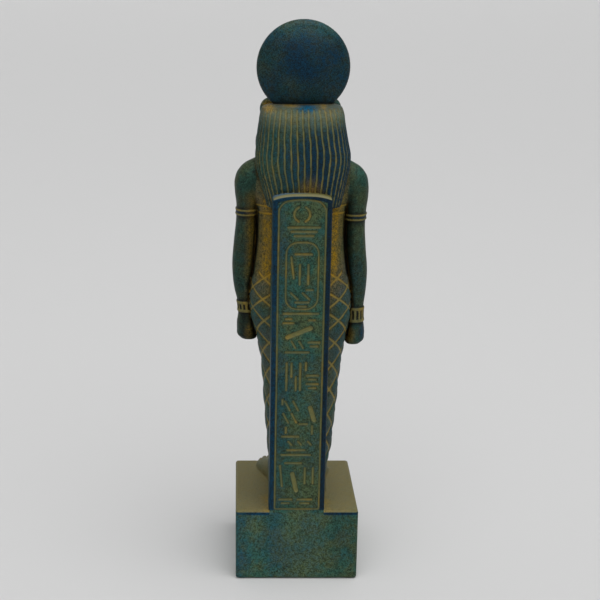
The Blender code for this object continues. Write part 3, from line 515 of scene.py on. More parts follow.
def head(x, y, h):
    """A lioness's face: brow, eyes, muzzle with its lips, nose, chin, cheeks and round ears."""
    shape = blend(ellipsoid(x, y, h, SKULL), ellipsoid(x, y, h, THROAT), 3.0)
    section, _ = loft(x - HEAD_X, h, -y, SNOUT[:-1], SNOUT_SQUARENESS)
    snout = soft_max(section, -y - SNOUT[-1][0], 3.0)
    shape = blend(shape, snout, 2.0)
    side = np.abs(x - HEAD_X) + HEAD_X
    lateral = side - HEAD_X
    for form, fillet in FACE:
        paired = form[0][0] > 0
        shape = blend(shape, ellipsoid(side if paired else x, y, h, form), fillet)
    # line of the mouth, split of the upper lip, nostrils, rims and corners of the eyes, whisker lines
    mouth = np.abs(h - (MOUTH_HEIGHT + 0.05 * lateral * lateral)) + np.maximum(lateral - 6.4, 0)
    mouth = mouth + stop(y, -21.0, -20.0)
    split = lateral + np.maximum(np.abs(h - 196.6) - 2.4, 0) + stop(y, -28.0, -27.0)
    nostril = np.hypot(lateral - 1.7, h - 199.5) - 0.1 + stop(y, -30.4, -30.0)
    (ex, _, eh), (rx, _, rh) = EYE
    slant = h - eh - 0.16 * (lateral - ex)
    rim = np.abs(np.sqrt(((lateral - ex) / (rx + 0.7)) ** 2 + (slant / (rh + 0.4)) ** 2) - 1) * 2.1
    tear = np.abs(lateral - 3.6 - 0.1 * (203.0 - h)) + np.maximum(np.abs(h - 201.4) - 1.7, 0)
    rim = np.minimum(rim, tear) + stop(y, -16.5, -15.5)
    whisker = np.abs(np.mod(h - 195.0 + 0.28 * lateral, 1.3) - 0.65)
    whisker = whisker + np.maximum(np.abs(lateral - 5.2) - 1.5, 0) + np.maximum(np.abs(h - 197.0) - 1.7, 0)
    whisker = whisker + 0.35 + stop(y, -22.0, -21.0)
    lines = mouth
    for line in (split, nostril, rim, whisker):
        lines = np.minimum(lines, line)
    crease = fade(0.12, 0.62, lines)
    ear = ellipsoid(side, y, h, EAR)
    ear = soft_max(ear, -ellipsoid(side, y, h, EAR_BOWL), 0.5)
    shape = blend(shape + 0.6 * crease, ear, 0.8)
    bowl = fade(0.2, 1.2, ellipsoid(side, y, h, EAR_BOWL))
    return shape, np.maximum(crease, bowl)


def disk(x, y, h):
    """The sun disk: a lens with a rounded rim."""
    radius = DISK_DIAMETER / 2
    core = radius - DISK_RIM
    centre_h = CROWN_HEIGHT + radius - DISK_SEAT
    rho = np.sqrt((x - DISK_X) ** 2 + (h - centre_h) ** 2)
    share = np.minimum(rho / core, 1)
    thick = DISK_THICKNESS / 2 - (DISK_THICKNESS / 2 - DISK_RIM) * share * share
    lens = (np.abs(y - DISK_Y) - thick) * 0.95
    rim = np.sqrt(np.maximum(rho - core, 0) ** 2 + (y - DISK_Y) ** 2) - DISK_RIM
    distance = np.where(rho < core, lens, rim)
    return distance, np.zeros_like(distance)


def cobra(x, y, h):
    """The rearing cobra on the brow, with a flared hood."""
    shape = None
    for (y0, h0, r0), (y1, h1, r1) in zip(COBRA, COBRA[1:]):
        link = capsule(x, y, h, (HEAD_X, y0, h0), (HEAD_X, y1, h1), r0, r1)
        shape = link if shape is None else blend(shape, link, 1.0)
    shape = blend(shape, ellipsoid(x, y, h, COBRA_HOOD), 0.8)
    shape = blend(shape, ellipsoid(x, y, h, COBRA_SNOUT), 0.6)
    ribs = np.abs(np.sin((h - 216.0) * math.pi / COBRA_RIB)) + stop(y, -17.2, -16.6)
    ribbed = smooth_step(216, 216.6, h) * fade(223.0, 224.0, h)
    crease = fade(0.0, 0.35, ribs) * ribbed
    return shape + 0.15 * crease, crease


def foot(x, y, h, table):
    """One bare foot with toes and nails."""
    rows = tuple((-row[0], *row[1:]) for row in table)
    middle, half, top = smooth_table(rows, -y)
    dx = x - middle
    px = np.abs(dx / half)
    ph = np.maximum(h + 1.5, 0) / (top + 1.5)
    reach = np.maximum((px**2.4 + ph**2.2) ** (1 / 2.3), 1e-3)
    rho = np.sqrt(dx * dx + (h + 1.5) ** 2)
    shape = rho * (1 - 1 / reach)
    shape = np.maximum(shape, np.maximum(rows[0][0] + y, -y - rows[-1][0]))
    tip_y = table[-1][0]
    toed = fade(tip_y + 7.0, tip_y + 10.5, y)
    across = (dx / half + 1) / 2 * TOES
    gap = np.abs(across - np.round(across)) * 2 * half / TOES
    crease = fade(0.0, 0.75, gap) * toed * (np.abs(dx) < half - 0.6)
    return shape + 1.0 * crease, crease


def left_foot(x, y, h):
    return foot(x, y, h, LEFT_FOOT)


def right_foot(x, y, h):
    return foot(x, y, h, RIGHT_FOOT)


def plinth(x, y, h):
    z = h + SOLE_Z
    world_y = y + AXIS_Y
    half_x = PLINTH[0] / 2
    low = (-half_x, -REAR_Y, 0.0)
    high = (half_x, REAR_Y, PLINTH[2])
    distance = rounded_box(x, world_y, z, low, high, PLINTH_EDGE)
    return distance, np.zeros_like(distance)


def pillar(x, y, h):
    """The back pillar with its arched top and the sunk panel."""
    x = x - PILLAR_LEAN * np.clip(1 - h / PILLAR_HEIGHT, 0, 1)
    half = PILLAR_WIDTH / 2
    across = np.abs((x - PILLAR_X) / half)
    top = PILLAR_HEIGHT - PILLAR_CROWN_RISE * np.minimum(across, 1) ** 3
    world_y = y + AXIS_Y
    low = (PILLAR_X - half, REAR_Y - PILLAR_DEPTH - 2, -2.0)
    high = (PILLAR_X + half, REAR_Y, PILLAR_HEIGHT)
    distance = rounded_box(x, world_y, h - top + PILLAR_HEIGHT, low, high, PILLAR_EDGE)
    sunk = panel_mark(x, h)
    rear = smooth_step(REAR_Y - 3.0, REAR_Y - 2.0, world_y)
    return distance + CARVING_DEPTH * sunk * rear, sunk * rear


def arc(middle, radius_x, radius_h, start, end, steps):
    """Points along an arc of an ellipse, angles in degrees from +X upwards."""
    angles = np.radians(np.linspace(start, end, steps + 1))
    return [(middle[0] + radius_x * math.cos(a), middle[1] + radius_h * math.sin(a)) for a in angles]


def rounded_loop(low, high, low_radius, high_radius):
    """A closed outline of a rectangle with round corners, smaller or larger below than above."""
    found = []
    corners = (
        (high[0] - high_radius, high[1] - high_radius, high_radius, 0),
        (low[0] + high_radius, high[1] - high_radius, high_radius, 90),
        (low[0] + low_radius, low[1] + low_radius, low_radius, 180),
        (high[0] - low_radius, low[1] + low_radius, low_radius, 270),
    )
    for x, h, radius, start in corners:
        found += arc((x, h), radius, radius, start, start + 90, CORNER_STEPS)
    return found + found[:1]


# The oval frame: its middle across and up, width, height and corner
OVAL = (-0.4, 132.6, 16.6, 35.6, 6.0)
# Plain marks of the panel: kind, middle across and up, width, height.
# They are rows of plain strokes and stand for no sign.
MARKS = (
    ("curves", 0.2, 165.0, 8.2, 8.2),
    ("rows", -0.9, 156.0, 16.0, 4.4),
    ("bar", -1.0, 144.2, 8.4, 0.0),
    ("slant", 4.6, 137.0, 1.4, 11.0),
    ("pair", -1.4, 133.4, 4.4, 10.4),
    ("bar", -4.4, 125.2, 3.2, 0.0),
    ("slants", 0.4, 121.8, 9.6, 3.4),
    ("rows", -0.6, 117.4, 6.8, 2.2),
    ("bar", -0.2, 112.4, 18.0, 0.0),
    ("rows", 6.2, 108.4, 5.2, -2.2),
    ("bar", -6.0, 108.8, 3.2, 0.0),
    ("broad", 0.6, 102.0, -12.0, 5.0),
    ("slant", 3.4, 95.4, 2.0, 3.4),
    ("slant", -0.6, 95.4, 2.0, 3.4),
    ("bar", 1.4, 91.2, 12.0, 0.0),
    ("rows", -7.4, 95.6, 5.8, 2.2),
    ("post", 6.8, 77.6, 0.0, 15.0),
    ("post", 4.2, 81.4, 0.0, 7.4),
    ("post", -0.4, 77.6, 0.0, 15.0),
    ("post", 1.8, 73.8, 0.0, 7.4),
    ("post", -3.4, 83.4, 0.0, 4.0),
    ("rows", -6.9, 77.2, 5.8, 2.2),
    ("rows", -6.9, 72.4, 5.8, 2.2),
    ("post", 8.6, 63.4, 0.0, 2.6),
    ("slants", 3.8, 61.2, 7.0, 5.0),
    ("slants", 4.6, 54.2, 7.0, 5.0),
    ("post", 6.6, 47.4, 0.0, 3.0),
    ("bar", 4.2, 43.6, 8.8, 0.0),
    ("bar", -2.6, 50.8, 4.0, 0.0),
    ("broad", -7.2, 56.6, 2.2, 7.0),
    ("post", -7.4, 47.4, 0.0, 4.4),
    ("comb", -0.9, 39.8, 14.0, 1.8),
    ("rows", 1.0, 34.4, 15.4, -2.8),
    ("bar", 2.4, 28.2, 8.6, 0.0),
    ("slant", 8.8, 20.6, 1.2, 12.0),
    ("broad", 1.6, 17.0, 2.2, 9.6),
    ("pair", -6.2, 20.8, 4.4, 9.0),
    ("rows", 6.2, 5.6, 6.4, 2.2),
    ("rows", -4.2, 5.6, 7.6, 2.2),
)
# The strokes of one mark: how far rows stand apart and how much they taper, where across a mark
# its strokes start at the foot and end at the top, and how far a bent stroke turns
ROW_PITCH = 2.2
ROW_TAPER = 0.4
SPANS = {
    "bar": ((-1, 1),),
    "post": ((0, 0),),
    "slant": ((-1, 1),),
    "broad": ((-1, 1),),
    "pair": ((-1, -1), (1, 1)),
    "slants": ((-1.0, -0.25), (0.25, 1.0)),
}
CURVE_SPAN = 130
CURVE_STEPS = 5
COMB_SLANT = 0.8
COMB_REACH = 0.75


def strokes(kind, x, h, width, height):
    """The middle lines of the strokes that make up one mark."""
    a = width / 2
    b = height / 2
    if kind in SPANS:
        return [[(x + foot * a, h - b), (x + top * a, h + b)] for foot, top in SPANS[kind]]
    if kind == "curves":
        starts = (-CURVE_SPAN / 2, 180 - CURVE_SPAN / 2)
        return [arc((x, h), a, b, start, start + CURVE_SPAN, CURVE_STEPS) for start in starts]
    if kind == "comb":
        places = [x + side * a * COMB_REACH for side in (-1, 0, 1)]
        return [[(place - COMB_SLANT, h - b), (place + COMB_SLANT, h + b)] for place in places]
    # rows that get shorter downwards, or upwards for a height below 0
    count = max(2, round(abs(height) / ROW_PITCH) + 1)
    found = []
    for row in range(count):
        share = row / (count - 1)
        reach = a * (1 - ROW_TAPER * share)
        level = h + b - height * share
        found.append([(x - reach, level), (x + reach, level)])
    return found


def panel_lines():
    """Every line of the panel: its points and its width."""
    half = PILLAR_WIDTH / 2 - PANEL_MARGIN
    top = PILLAR_HEIGHT - PANEL_TOP_MARGIN
    border = rounded_loop((-half, PANEL_BOTTOM_MARGIN), (half, top), PANEL_LOW_CORNER, PANEL_CORNER)
    upper = [(px, top) for px in np.linspace(half, -half, 13)[3:-3]]
    border = border[: CORNER_STEPS + 1] + upper + border[CORNER_STEPS + 1 :]
    for at, (px, ph) in enumerate(border):
        if ph > top - PANEL_CORNER:
            border[at] = (px, ph - PANEL_TOP_SAG * (px / half) ** 2)
    x, h, width, height, corner = OVAL
    low = (x - width / 2, h - height / 2)
    high = (x + width / 2, h + height / 2)
    oval = rounded_loop(low, high, corner, corner)
    found = [(border, PANEL_LINE_WIDTH), (oval, OVAL_LINE_WIDTH)]
    for kind, x, h, width, height in MARKS:
        line = BROAD_STROKE_WIDTH if kind == "broad" else STROKE_WIDTH
        found += [(points, line) for points in strokes(kind, x, h, width, height)]
    shift = PILLAR_X
    return [([(px + shift, ph) for px, ph in points], width) for points, width in found]


PANEL = panel_lines()
PANEL_STEP = 0.2
PANEL_LOW = (PILLAR_X - PILLAR_WIDTH / 2 - 1, -3.0)
PANEL_HIGH = (PILLAR_X + PILLAR_WIDTH / 2 + 1, PILLAR_HEIGHT + 1)


def panel_picture():
    """How deep each point of the panel is sunk, from 0 to 1, on a fine grid across and up."""
    xs = np.arange(PANEL_LOW[0], PANEL_HIGH[0], PANEL_STEP)[:, None]
    hs = np.arange(PANEL_LOW[1], PANEL_HIGH[1], PANEL_STEP)[None, :]
    depth = np.zeros((xs.size, hs.size), np.float32)
    for points, width in PANEL:
        gap = np.full(depth.shape, 99.0)
        for (x0, h0), (x1, h1) in zip(points, points[1:]):
            dx = x1 - x0
            dh = h1 - h0
            t = np.clip(((xs - x0) * dx + (hs - h0) * dh) / (dx * dx + dh * dh + 1e-9), 0, 1)
            gap = np.minimum(gap, np.hypot(xs - x0 - t * dx, hs - h0 - t * dh))
        depth = np.maximum(depth, fade(width / 2 - 0.25, width / 2 + 0.25, gap))
    return depth


PICTURE = panel_picture()


def panel_mark(x, h):
    """The panel's depth at any points, read between the fine grid's cells."""
    column = np.clip((x - PANEL_LOW[0]) / PANEL_STEP, 0, PICTURE.shape[0] - 1.001)
    row = np.clip((h - PANEL_LOW[1]) / PANEL_STEP, 0, PICTURE.shape[1] - 1.001)
    column, row = np.broadcast_arrays(column, row)
    c = column.astype(int)
    r = row.astype(int)
    fc = column - c
    fr = row - r
    low = PICTURE[c, r] * (1 - fc) + PICTURE[c + 1, r] * fc
    high = PICTURE[c, r + 1] * (1 - fc) + PICTURE[c + 1, r + 1] * fc
    return low * (1 - fr) + high * fr


# Every form with the box that holds it (low and high x, y, height), the width of its fillet, and its
# paint: brightness, blue, ochre left in hollows, and how ochre its grooves are
FORMS = (
    (plinth, (-34, -41, -42), (34, 29, 1), 0.3, (1.02, 0.05, 0.0, 0.0)),
    (pillar, (-17, 10, -3), (16, 29, 176), 0.8, (0.8, 0.05, 0.0, 0.1)),
    (spine, (-12, 1, -5), (12, 16, 173), 0.6, (0.4, 0.0, 0.5, 0.5)),
    (body, (-31, -20, -3), (28, 20, 201), 1.0, (0.7, 0.4, 0.2, 0.3)),
    (left_foot, (3, -39, -2), (22, 8, 14), 1.2, (0.8, 0.0, 0.6, 0.3)),
    (right_foot, (-22, -33, -2), (-4, 10, 14), 1.2, (0.8, 0.0, 0.6, 0.3)),
    # the web's near-black brightness is painted shade in the deep gap between arms and waist
    (web, (-30, -4, 91), (30, 3, 177), 1.6, (0.15, 0.0, 0.0, 0.5)),
    (left_arm, (12, -12, 86), (37, 10, 191), -3.0, (0.44, 0.06, 0.5, 0.25)),
    (right_arm, (-39, -12, 82), (-12, 10, 190), -3.0, (0.52, 0.12, 0.5, 0.25)),
    (breasts, (-20, -20, 151), (19, -4, 169), 2.0, (0.8, 0.2, 0.8, 0.5)),
    (head, (-24, -32, 176), (23, 9, 221), 1.0, (0.8, 0.2, 0.8, 0.6)),
    (wig, (-28, -15, 165), (26, 25, 220), 0.8, (0.62, 0.5, 0.3, 0.1)),
    (lappets, (-25, -23, 150), (24, 0, 205), 0.8, (0.62, 0.4, 0.5, 0.3)),
    (ruff, (-23, -20, 180), (22, -5, 220), 0.8, (0.8, 0.15, 0.8, 0.6)),
    (disk, (-26, -9, 210), (24, 11, 262), 0.3, (0.5, 0.5, 0.0, 0.0)),
    (cobra, (-5, -22, 211), (4, -6, 230), 0.8, (0.8, 0.3, 0.6, 0.6)),
)


def local(low, high):
    """A form's box in the grid's own millimetres, with a margin."""
    shift = np.array((0, AXIS_Y, SOLE_Z))
    return low + shift - MARGIN, high + shift + MARGIN


def sample_statue():
    """The distance to the statue's surface on the whole grid."""
    axes = [np.arange(low, high, STEP, dtype=np.float32) for low, high in zip(GRID_LOW, GRID_HIGH)]
    values = np.full([len(axis) for axis in axes], FAR, np.float32)
    for form, low, high, fillet, _ in FORMS:
        low, high = local(low, high)
        cut = [slice(*np.searchsorted(axes[i], (low[i], high[i]))) for i in range(3)]
        x = axes[0][cut[0]][:, None, None]
        y = axes[1][cut[1]][None, :, None] - AXIS_Y
        h = axes[2][cut[2]][None, None, :] - SOLE_Z
        distance, _ = form(x, y, h)
        part = values[tuple(cut)]
        if fillet < 0:
            fillet = fillet + (SHOULDER_FILLET - fillet) * smooth_step(*SHOULDER_JOIN, h)
        values[tuple(cut)] = blend(part, distance.astype(np.float32), fillet)
    return values


def read(values, points):
    """Values of a grid at points in millimetres, between its cells."""
    at = (points - np.array(GRID_LOW)) / STEP
    at = np.clip(at, 0, np.array(values.shape) - 1.001)
    base = at.astype(np.int32)
    part = (at - base).astype(np.float32)
    found = np.zeros(len(points), np.float32)
    for corner in np.ndindex(2, 2, 2):
        weight = np.ones(len(points), np.float32)
        for i in range(3):
            weight *= part[:, i] if corner[i] else 1 - part[:, i]
        found += weight * values[base[:, 0] + corner[0], base[:, 1] + corner[1], base[:, 2] + corner[2]]
    return found


def surface(values):
    """Vertices and quads of the surface where the values change sign."""
    inside = values < 0
    cells = [n - 1 for n in values.shape]
    held = np.zeros(cells, np.int8)
    for i, j, k in np.ndindex(2, 2, 2):
        held += inside[i : cells[0] + i, j : cells[1] + j, k : cells[2] + k]
    where = np.argwhere((held > 0) & (held < 8))
    index = np.full(cells, -1, np.int32)
    index[tuple(where.T)] = np.arange(len(where), dtype=np.int32)
    total = np.zeros((len(where), 3))
    count = np.zeros(len(where))
    for first in np.ndindex(2, 2, 2):
        for axis in range(3):
            if first[axis]:
                continue
            second = tuple(1 if i == axis else first[i] for i in range(3))
            a = values[tuple((where + first).T)]
            b = values[tuple((where + second).T)]
            crossed = (a < 0) != (b < 0)
            t = a / np.where(crossed, a - b, 1)
            point = where + np.array(first, float)
            point[:, axis] += t
            total[crossed] += point[crossed]
            count += crossed
    verts = np.array(GRID_LOW) + STEP * total / count[:, None]
    quads = []
    for axis in range(3):
        others = [i for i in range(3) if i != axis]
        here = [slice(1, -1)] * 3
        there = [slice(1, -1)] * 3
        here[axis] = slice(0, -1)
        there[axis] = slice(1, None)
        changed = inside[tuple(here)] != inside[tuple(there)]
        edge = np.argwhere(changed)
        offset = np.ones(3, int)
        offset[axis] = 0
        edge = edge + offset
        solid = inside[tuple(edge.T)]
        ring = []
        for u, v in ((-1, -1), (0, -1), (0, 0), (-1, 0)):
            cell = edge.copy()
            cell[:, others[0]] += u
            cell[:, others[1]] += v
            ring.append(index[tuple(cell.T)])
        quad = np.stack(ring, axis=1)
        flip = solid if axis != 1 else ~solid
        quad[~flip] = quad[~flip][:, ::-1]
        quads.append(quad)
    return verts, np.concatenate(quads)


def settle(values, verts, rounds=2):
    """Moves vertices onto the surface along its slope."""
    for _ in range(rounds):
        value = read(values, verts)
        rises = [read(values, verts + half) - read(values, verts - half) for half in np.eye(3) * STEP / 2]
        slope = np.stack(rises, axis=1) / STEP
        size = np.maximum((slope**2).sum(axis=1), 0.2)
        verts = verts - np.clip(value / size, -0.25, 0.25)[:, None] * slope
    return verts


def blurred(values, cells):
    """A box average over a number of cells each way."""
    for axis in range(3):
        margin = [(0, 0)] * 3
        margin[axis] = (cells + 1, cells)
        padded = np.cumsum(np.pad(values, margin, "edge"), axis)
        high = [slice(None)] * 3
        low = [slice(None)] * 3
        high[axis] = slice(2 * cells + 1, None)
        low[axis] = slice(0, -2 * cells - 1)
        values = (padded[tuple(high)] - padded[tuple(low)]) / np.float32(2 * cells + 1)
    return values


def mesh_from(name, verts, quads):
    mesh = bpy.data.meshes.new(name)
    mesh.vertices.add(len(verts))
    mesh.vertices.foreach_set("co", (verts * METRES).astype(np.float32).ravel())
    mesh.loops.add(quads.size)
    mesh.loops.foreach_set("vertex_index", quads.astype(np.int32).ravel())
    mesh.polygons.add(len(quads))
    mesh.polygons.foreach_set("loop_start", np.arange(0, quads.size, 4, dtype=np.int32))
    mesh.update(calc_edges=True)
    mesh.validate()
    return mesh


def placed(name, data):
    """A new object in the scene."""
    made = bpy.data.objects.new(name, data)
    bpy.context.scene.collection.objects.link(made)
    return made


def reduced(name, mesh, triangles):
    """The mesh with its flat stretches thinned out, as a new object."""
    whole = placed(name + "_full", mesh)
    thin = whole.modifiers.new("thin", "DECIMATE")
    thin.ratio = min(1.0, triangles / (2 * len(mesh.polygons)))
    seen = whole.evaluated_get(bpy.context.evaluated_depsgraph_get())
    final = bpy.data.meshes.new_from_object(seen)
    final.name = name
    bpy.data.objects.remove(whole)
    final.shade_smooth()
    return placed(name, final)


# Spots of colour seen from behind: the forms they are on, place across and up, radii, strength
OCHRE_SPOTS = (
    ((left_arm,), (26.5, 94), (3.5, 6), 0.6),
    ((right_arm,), (-28.5, 92), (4, 7), 0.5),
    ((wig,), (-4.5, 169), (10, 17), 0.75),
    ((wig, head), (16.5, 216), (4.5, 3.0), 0.9),
    ((wig,), (5.5, 217.2), (5, 1.0), 0.8),
    ((wig,), (-11.5, 217), (2, 1.6), 0.9),
)
BLUE_SPOTS = (
    ((disk,), (-4, 243), (20, 17), 0.55),
    ((right_arm,), (-36, 94), (4, 8), 0.7),
)
PALE_SPOT = ((-2.5, 216), (8, 2.6))


def spot(x, h, place, radius):
    """1 at a place across and up, fading to 0 at a radius."""
    return fade(0.25, 1.0, np.hypot((x - place[0]) / radius[0], (h - place[1]) / radius[1]))


def paint(mesh, values):
    """Stores on each vertex how the statue is painted there."""
    count = len(mesh.vertices)
    verts = np.empty(count * 3, np.float32)
    mesh.vertices.foreach_get("co", verts)
    verts = verts.reshape(-1, 3).astype(np.float64) / METRES
    nearest = np.full(count, 1.2)
    groove = np.zeros(count)
    owner = np.zeros(count, int)
    near_arm = np.full(count, FAR)
    near_body = np.full(count, FAR)
    for index, (form, low, high, _, _) in enumerate(FORMS):
        low, high = local(low, high)
        held = np.all((verts > low) & (verts < high), axis=1)
        x, y, z = verts[held].T
        distance, depth = form(x, y - AXIS_Y, z - SOLE_Z)
        distance = np.abs(distance)
        closer = distance < nearest[held]
        at = np.flatnonzero(held)[closer]
        groove[at] = depth[closer]
        nearest[at] = distance[closer]
        owner[at] = index
        if form in (left_arm, right_arm):
            near_arm[held] = np.minimum(near_arm[held], distance)
        elif form in (body, web):
            near_body[held] = np.minimum(near_body[held], distance)
    forms = [row[0] for row in FORMS]
    owner[verts[:, 2] < SOLE_Z - 0.2] = forms.index(plinth)
    tone, blue, rust, gold = np.array([row[4] for row in FORMS])[owner].T

    def on(*wanted):
        return np.isin(owner, [forms.index(form) for form in wanted])

    solid = (values < 0).astype(np.float32)
    edge = 0.5 - read(blurred(solid, 2), verts)
    hollow = read(blurred(blurred(solid, 6), 5), verts) - 0.5
    x, y, h = verts.T
    y = y - AXIS_Y
    h = h - SOLE_Z
    side = np.abs(x - PILLAR_X)

    # ochre: beside the pillar, on the arms' inner sides and the fists, at the wig's foot and by the disk
    # the narrow gap between arms and body: kept free of ochre, and darkened below as painted shade
    gap = fade(0.8, 3.0, near_arm + near_body) * (h > 86) * smooth_step(169, 162, h)
    beside = 0.85 * smooth_step(21, 16.5, side) * smooth_step(124, 134, h) + 0.5 * smooth_step(30, 20, side)
    wash = on(body) * beside * smooth_step(110, 128, h) * smooth_step(-2, 6, y)
    wash += 0.15 * on(body) * smooth_step(22, 15.5, side) * smooth_step(20, 60, h) * smooth_step(0, 8, y)
    inner = smooth_step(0, 5, 30.0 - x) * smooth_step(176, 164, h) * smooth_step(92, 104, h)
    wash = (wash + 0.65 * on(left_arm) * inner) * (1 - gap)
    for wanted, place, radii, strength in OCHRE_SPOTS:
        wash += strength * on(*wanted) * spot(x, h, place, radii)

    # blue: the disk's middle, the wig's crown and right side, the armlets and a fist
    pale = on(wig) * spot(x, h, *PALE_SPOT)
    blue += 0.5 * pale
    sides = 0.4 * smooth_step(6, -8, x) - 0.25 * smooth_step(4, 16, x)
    blue += on(wig) * sides * smooth_step(212, 200, h)
    for wanted, place, radii, strength in BLUE_SPOTS:
        blue += strength * on(*wanted) * spot(x, h, place, radii)
    for form, (low, high) in ((left_arm, LEFT_ARMLET), (right_arm, RIGHT_ARMLET)):
        blue += 0.8 * on(form) * ((h > low + 0.8) & (h < high - 0.8))

    # brightness: the wig's crown and the disk's top are paler as painted top light, and the shoulders are
    # paler; painted shade darkens the arms' inner sides, the gap between arms and body, the bands'
    # recesses, the fingers' creases and the hollows
    crown = on(wig) * smooth_step(203, 215, h)
    # painted top light: the wig's crown and the top of the disk are paler
    tone = tone * (1 + 0.8 * crown) * (1 + 0.5 * pale) * (1 + 0.8 * on(disk) * smooth_step(246, 259, h))
    # painted shade in the gap between arms and body, and in the arms' band recesses and finger creases
    tone *= (1 - 0.9 * gap) * (1 - 0.85 * np.clip(-groove, 0, 1))
    # painted shadow on the right arm's inner side
    tone *= 1 - 0.7 * on(right_arm) * smooth_step(-30.0, -26.5, x) * smooth_step(178, 166, h)
    tone *= 1 + 0.35 * on(left_arm, right_arm) * smooth_step(176, 186, h)
    tone *= 1 - 0.2 * on(wig) * smooth_step(4, -8, x) * smooth_step(210, 200, h)
    flat = on(plinth, pillar)
    # painted shade in the figure's hollows; the pillar and plinth are left out
    tone *= 1 - 0.75 * smooth_step(0.2, 0.75, hollow * 4) * ~flat
    layers = {
        "groove": np.clip(groove, 0, 1),
        "edge": np.clip(edge * 4, -1, 1) * ~flat,
        "hollow": np.clip(hollow * 4, -1, 1) * rust,
        "wash": np.clip(wash, 0, 1),
        "blue": np.clip(blue, 0, 1),
        "flat": flat,
        "tone": tone,
        "gold": np.clip(gold + 0.5 * wash, 0, 1),
        "dust": np.clip(0.6 * on(left_foot, right_foot) + 0.4 * crown * (1 - pale), 0, 1),
    }
    for name, shares in layers.items():
        layer = mesh.attributes.new(name, "FLOAT", "POINT")
        layer.data.foreach_set("value", shares.astype(np.float32))


class Nodes:
    """Short calls to lay out a material."""

    def __init__(self, material):
        material.use_nodes = True
        self.tree = material.node_tree
        self.shader = self.tree.nodes["Principled BSDF"]

    def add(self, kind, **settings):
        node = self.tree.nodes.new(kind)
        for key, value in settings.items():
            setattr(node, key, value)
        return node

    def link(self, source, target):
        self.tree.links.new(source, target)

    def put(self, socket, value):
        if isinstance(value, bpy.types.NodeSocket):
            self.link(value, socket)
        else:
            socket.default_value = value

    def fill(self, node, **values):
        """Sets or links a node's inputs; _ stands for a space in an input's name."""
        for name, value in values.items():
            self.put(node.inputs[name.replace("_", " ")], value)

    def layer(self, name):
        return self.add("ShaderNodeAttribute", attribute_name=name).outputs["Fac"]

    def noise(self, scale, detail, roughness, offset=0.0):
        place = self.add("ShaderNodeMapping")
        where = self.add("ShaderNodeTexCoord").outputs["Object"]
        self.fill(place, Vector=where, Location=(offset, offset * 0.7, offset * 1.3))
        made = self.add("ShaderNodeTexNoise")
        self.fill(made, Vector=place.outputs["Vector"], Scale=scale, Detail=detail, Roughness=roughness)
        return made.outputs["Fac"]

    def math(self, operation, a, b=0.0, clamp=False):
        node = self.add("ShaderNodeMath", operation=operation, use_clamp=clamp)
        self.put(node.inputs[0], a)
        self.put(node.inputs[1], b)
        return node.outputs[0]

    def chain(self, operation, first, *others):
        made = first
        for other in others:
            made = self.math(operation, made, other)
        return made

    def product(self, *factors):
        return self.chain("MULTIPLY", *factors)

    def total(self, *values):
        return self.chain("ADD", *values)

    def largest(self, *values):
        return self.chain("MAXIMUM", *values)

    def minus(self, value, other):
        return self.math("SUBTRACT", value, other)

    def gap(self, value, level):
        return self.math("ABSOLUTE", self.minus(value, level))

    def place(self):
        """Where a point of the statue is, in mm: across, back and up from the plinth's top."""
        parts = self.add("ShaderNodeSeparateXYZ")
        self.link(self.add("ShaderNodeTexCoord").outputs["Object"], parts.inputs["Vector"])
        x, y, z = [self.math("DIVIDE", parts.outputs[axis], METRES) for axis in "XYZ"]
        return x, y, self.minus(z, SOLE_Z)

    def span(self, value, low, high, to_low=0.0, to_high=1.0, kind="SMOOTHSTEP"):
        node = self.add("ShaderNodeMapRange", interpolation_type=kind)
        self.fill(node, Value=value, From_Min=low, From_Max=high, To_Min=to_low, To_Max=to_high)
        return node.outputs["Result"]

    def mix(self, share, first, second, kind="MIX"):
        node = self.add("ShaderNodeMix", data_type="RGBA", blend_type=kind)
        self.fill(node, Factor=share, A=first, B=second)
        return node.outputs["Result"]

    def scaled(self, base, factor):
        """A colour times a number."""
        grey = self.add("ShaderNodeCombineXYZ")
        for axis in "XYZ":
            self.link(factor, grey.inputs[axis])
        return self.mix(1.0, base, grey.outputs["Vector"], "MULTIPLY")


def colour(red, green, blue):
    """A colour given as it looks on a screen, 0 to 255, as linear light."""

    def linear(value):
        value /= 255
        return value / 12.92 if value <= 0.04045 else ((value + 0.055) / 1.055) ** 2.4

    return (linear(red), linear(green), linear(blue), 1.0)


TEAL = colour(46, 84, 70)
GREEN = colour(68, 84, 56)
BLUE = colour(0, 54, 78)
OLIVE = colour(104, 110, 72)
OCHRE = colour(170, 130, 12)
TAN = colour(116, 105, 66)
# painted highlights for the pillar's lit top
CROWN_RIM_HIGHLIGHT = colour(132, 126, 88)
CROWN_BLUE_HIGHLIGHT = colour(84, 106, 122)
CROWN_OCHRE = colour(100, 92, 40)
EARTH = colour(78, 66, 12)


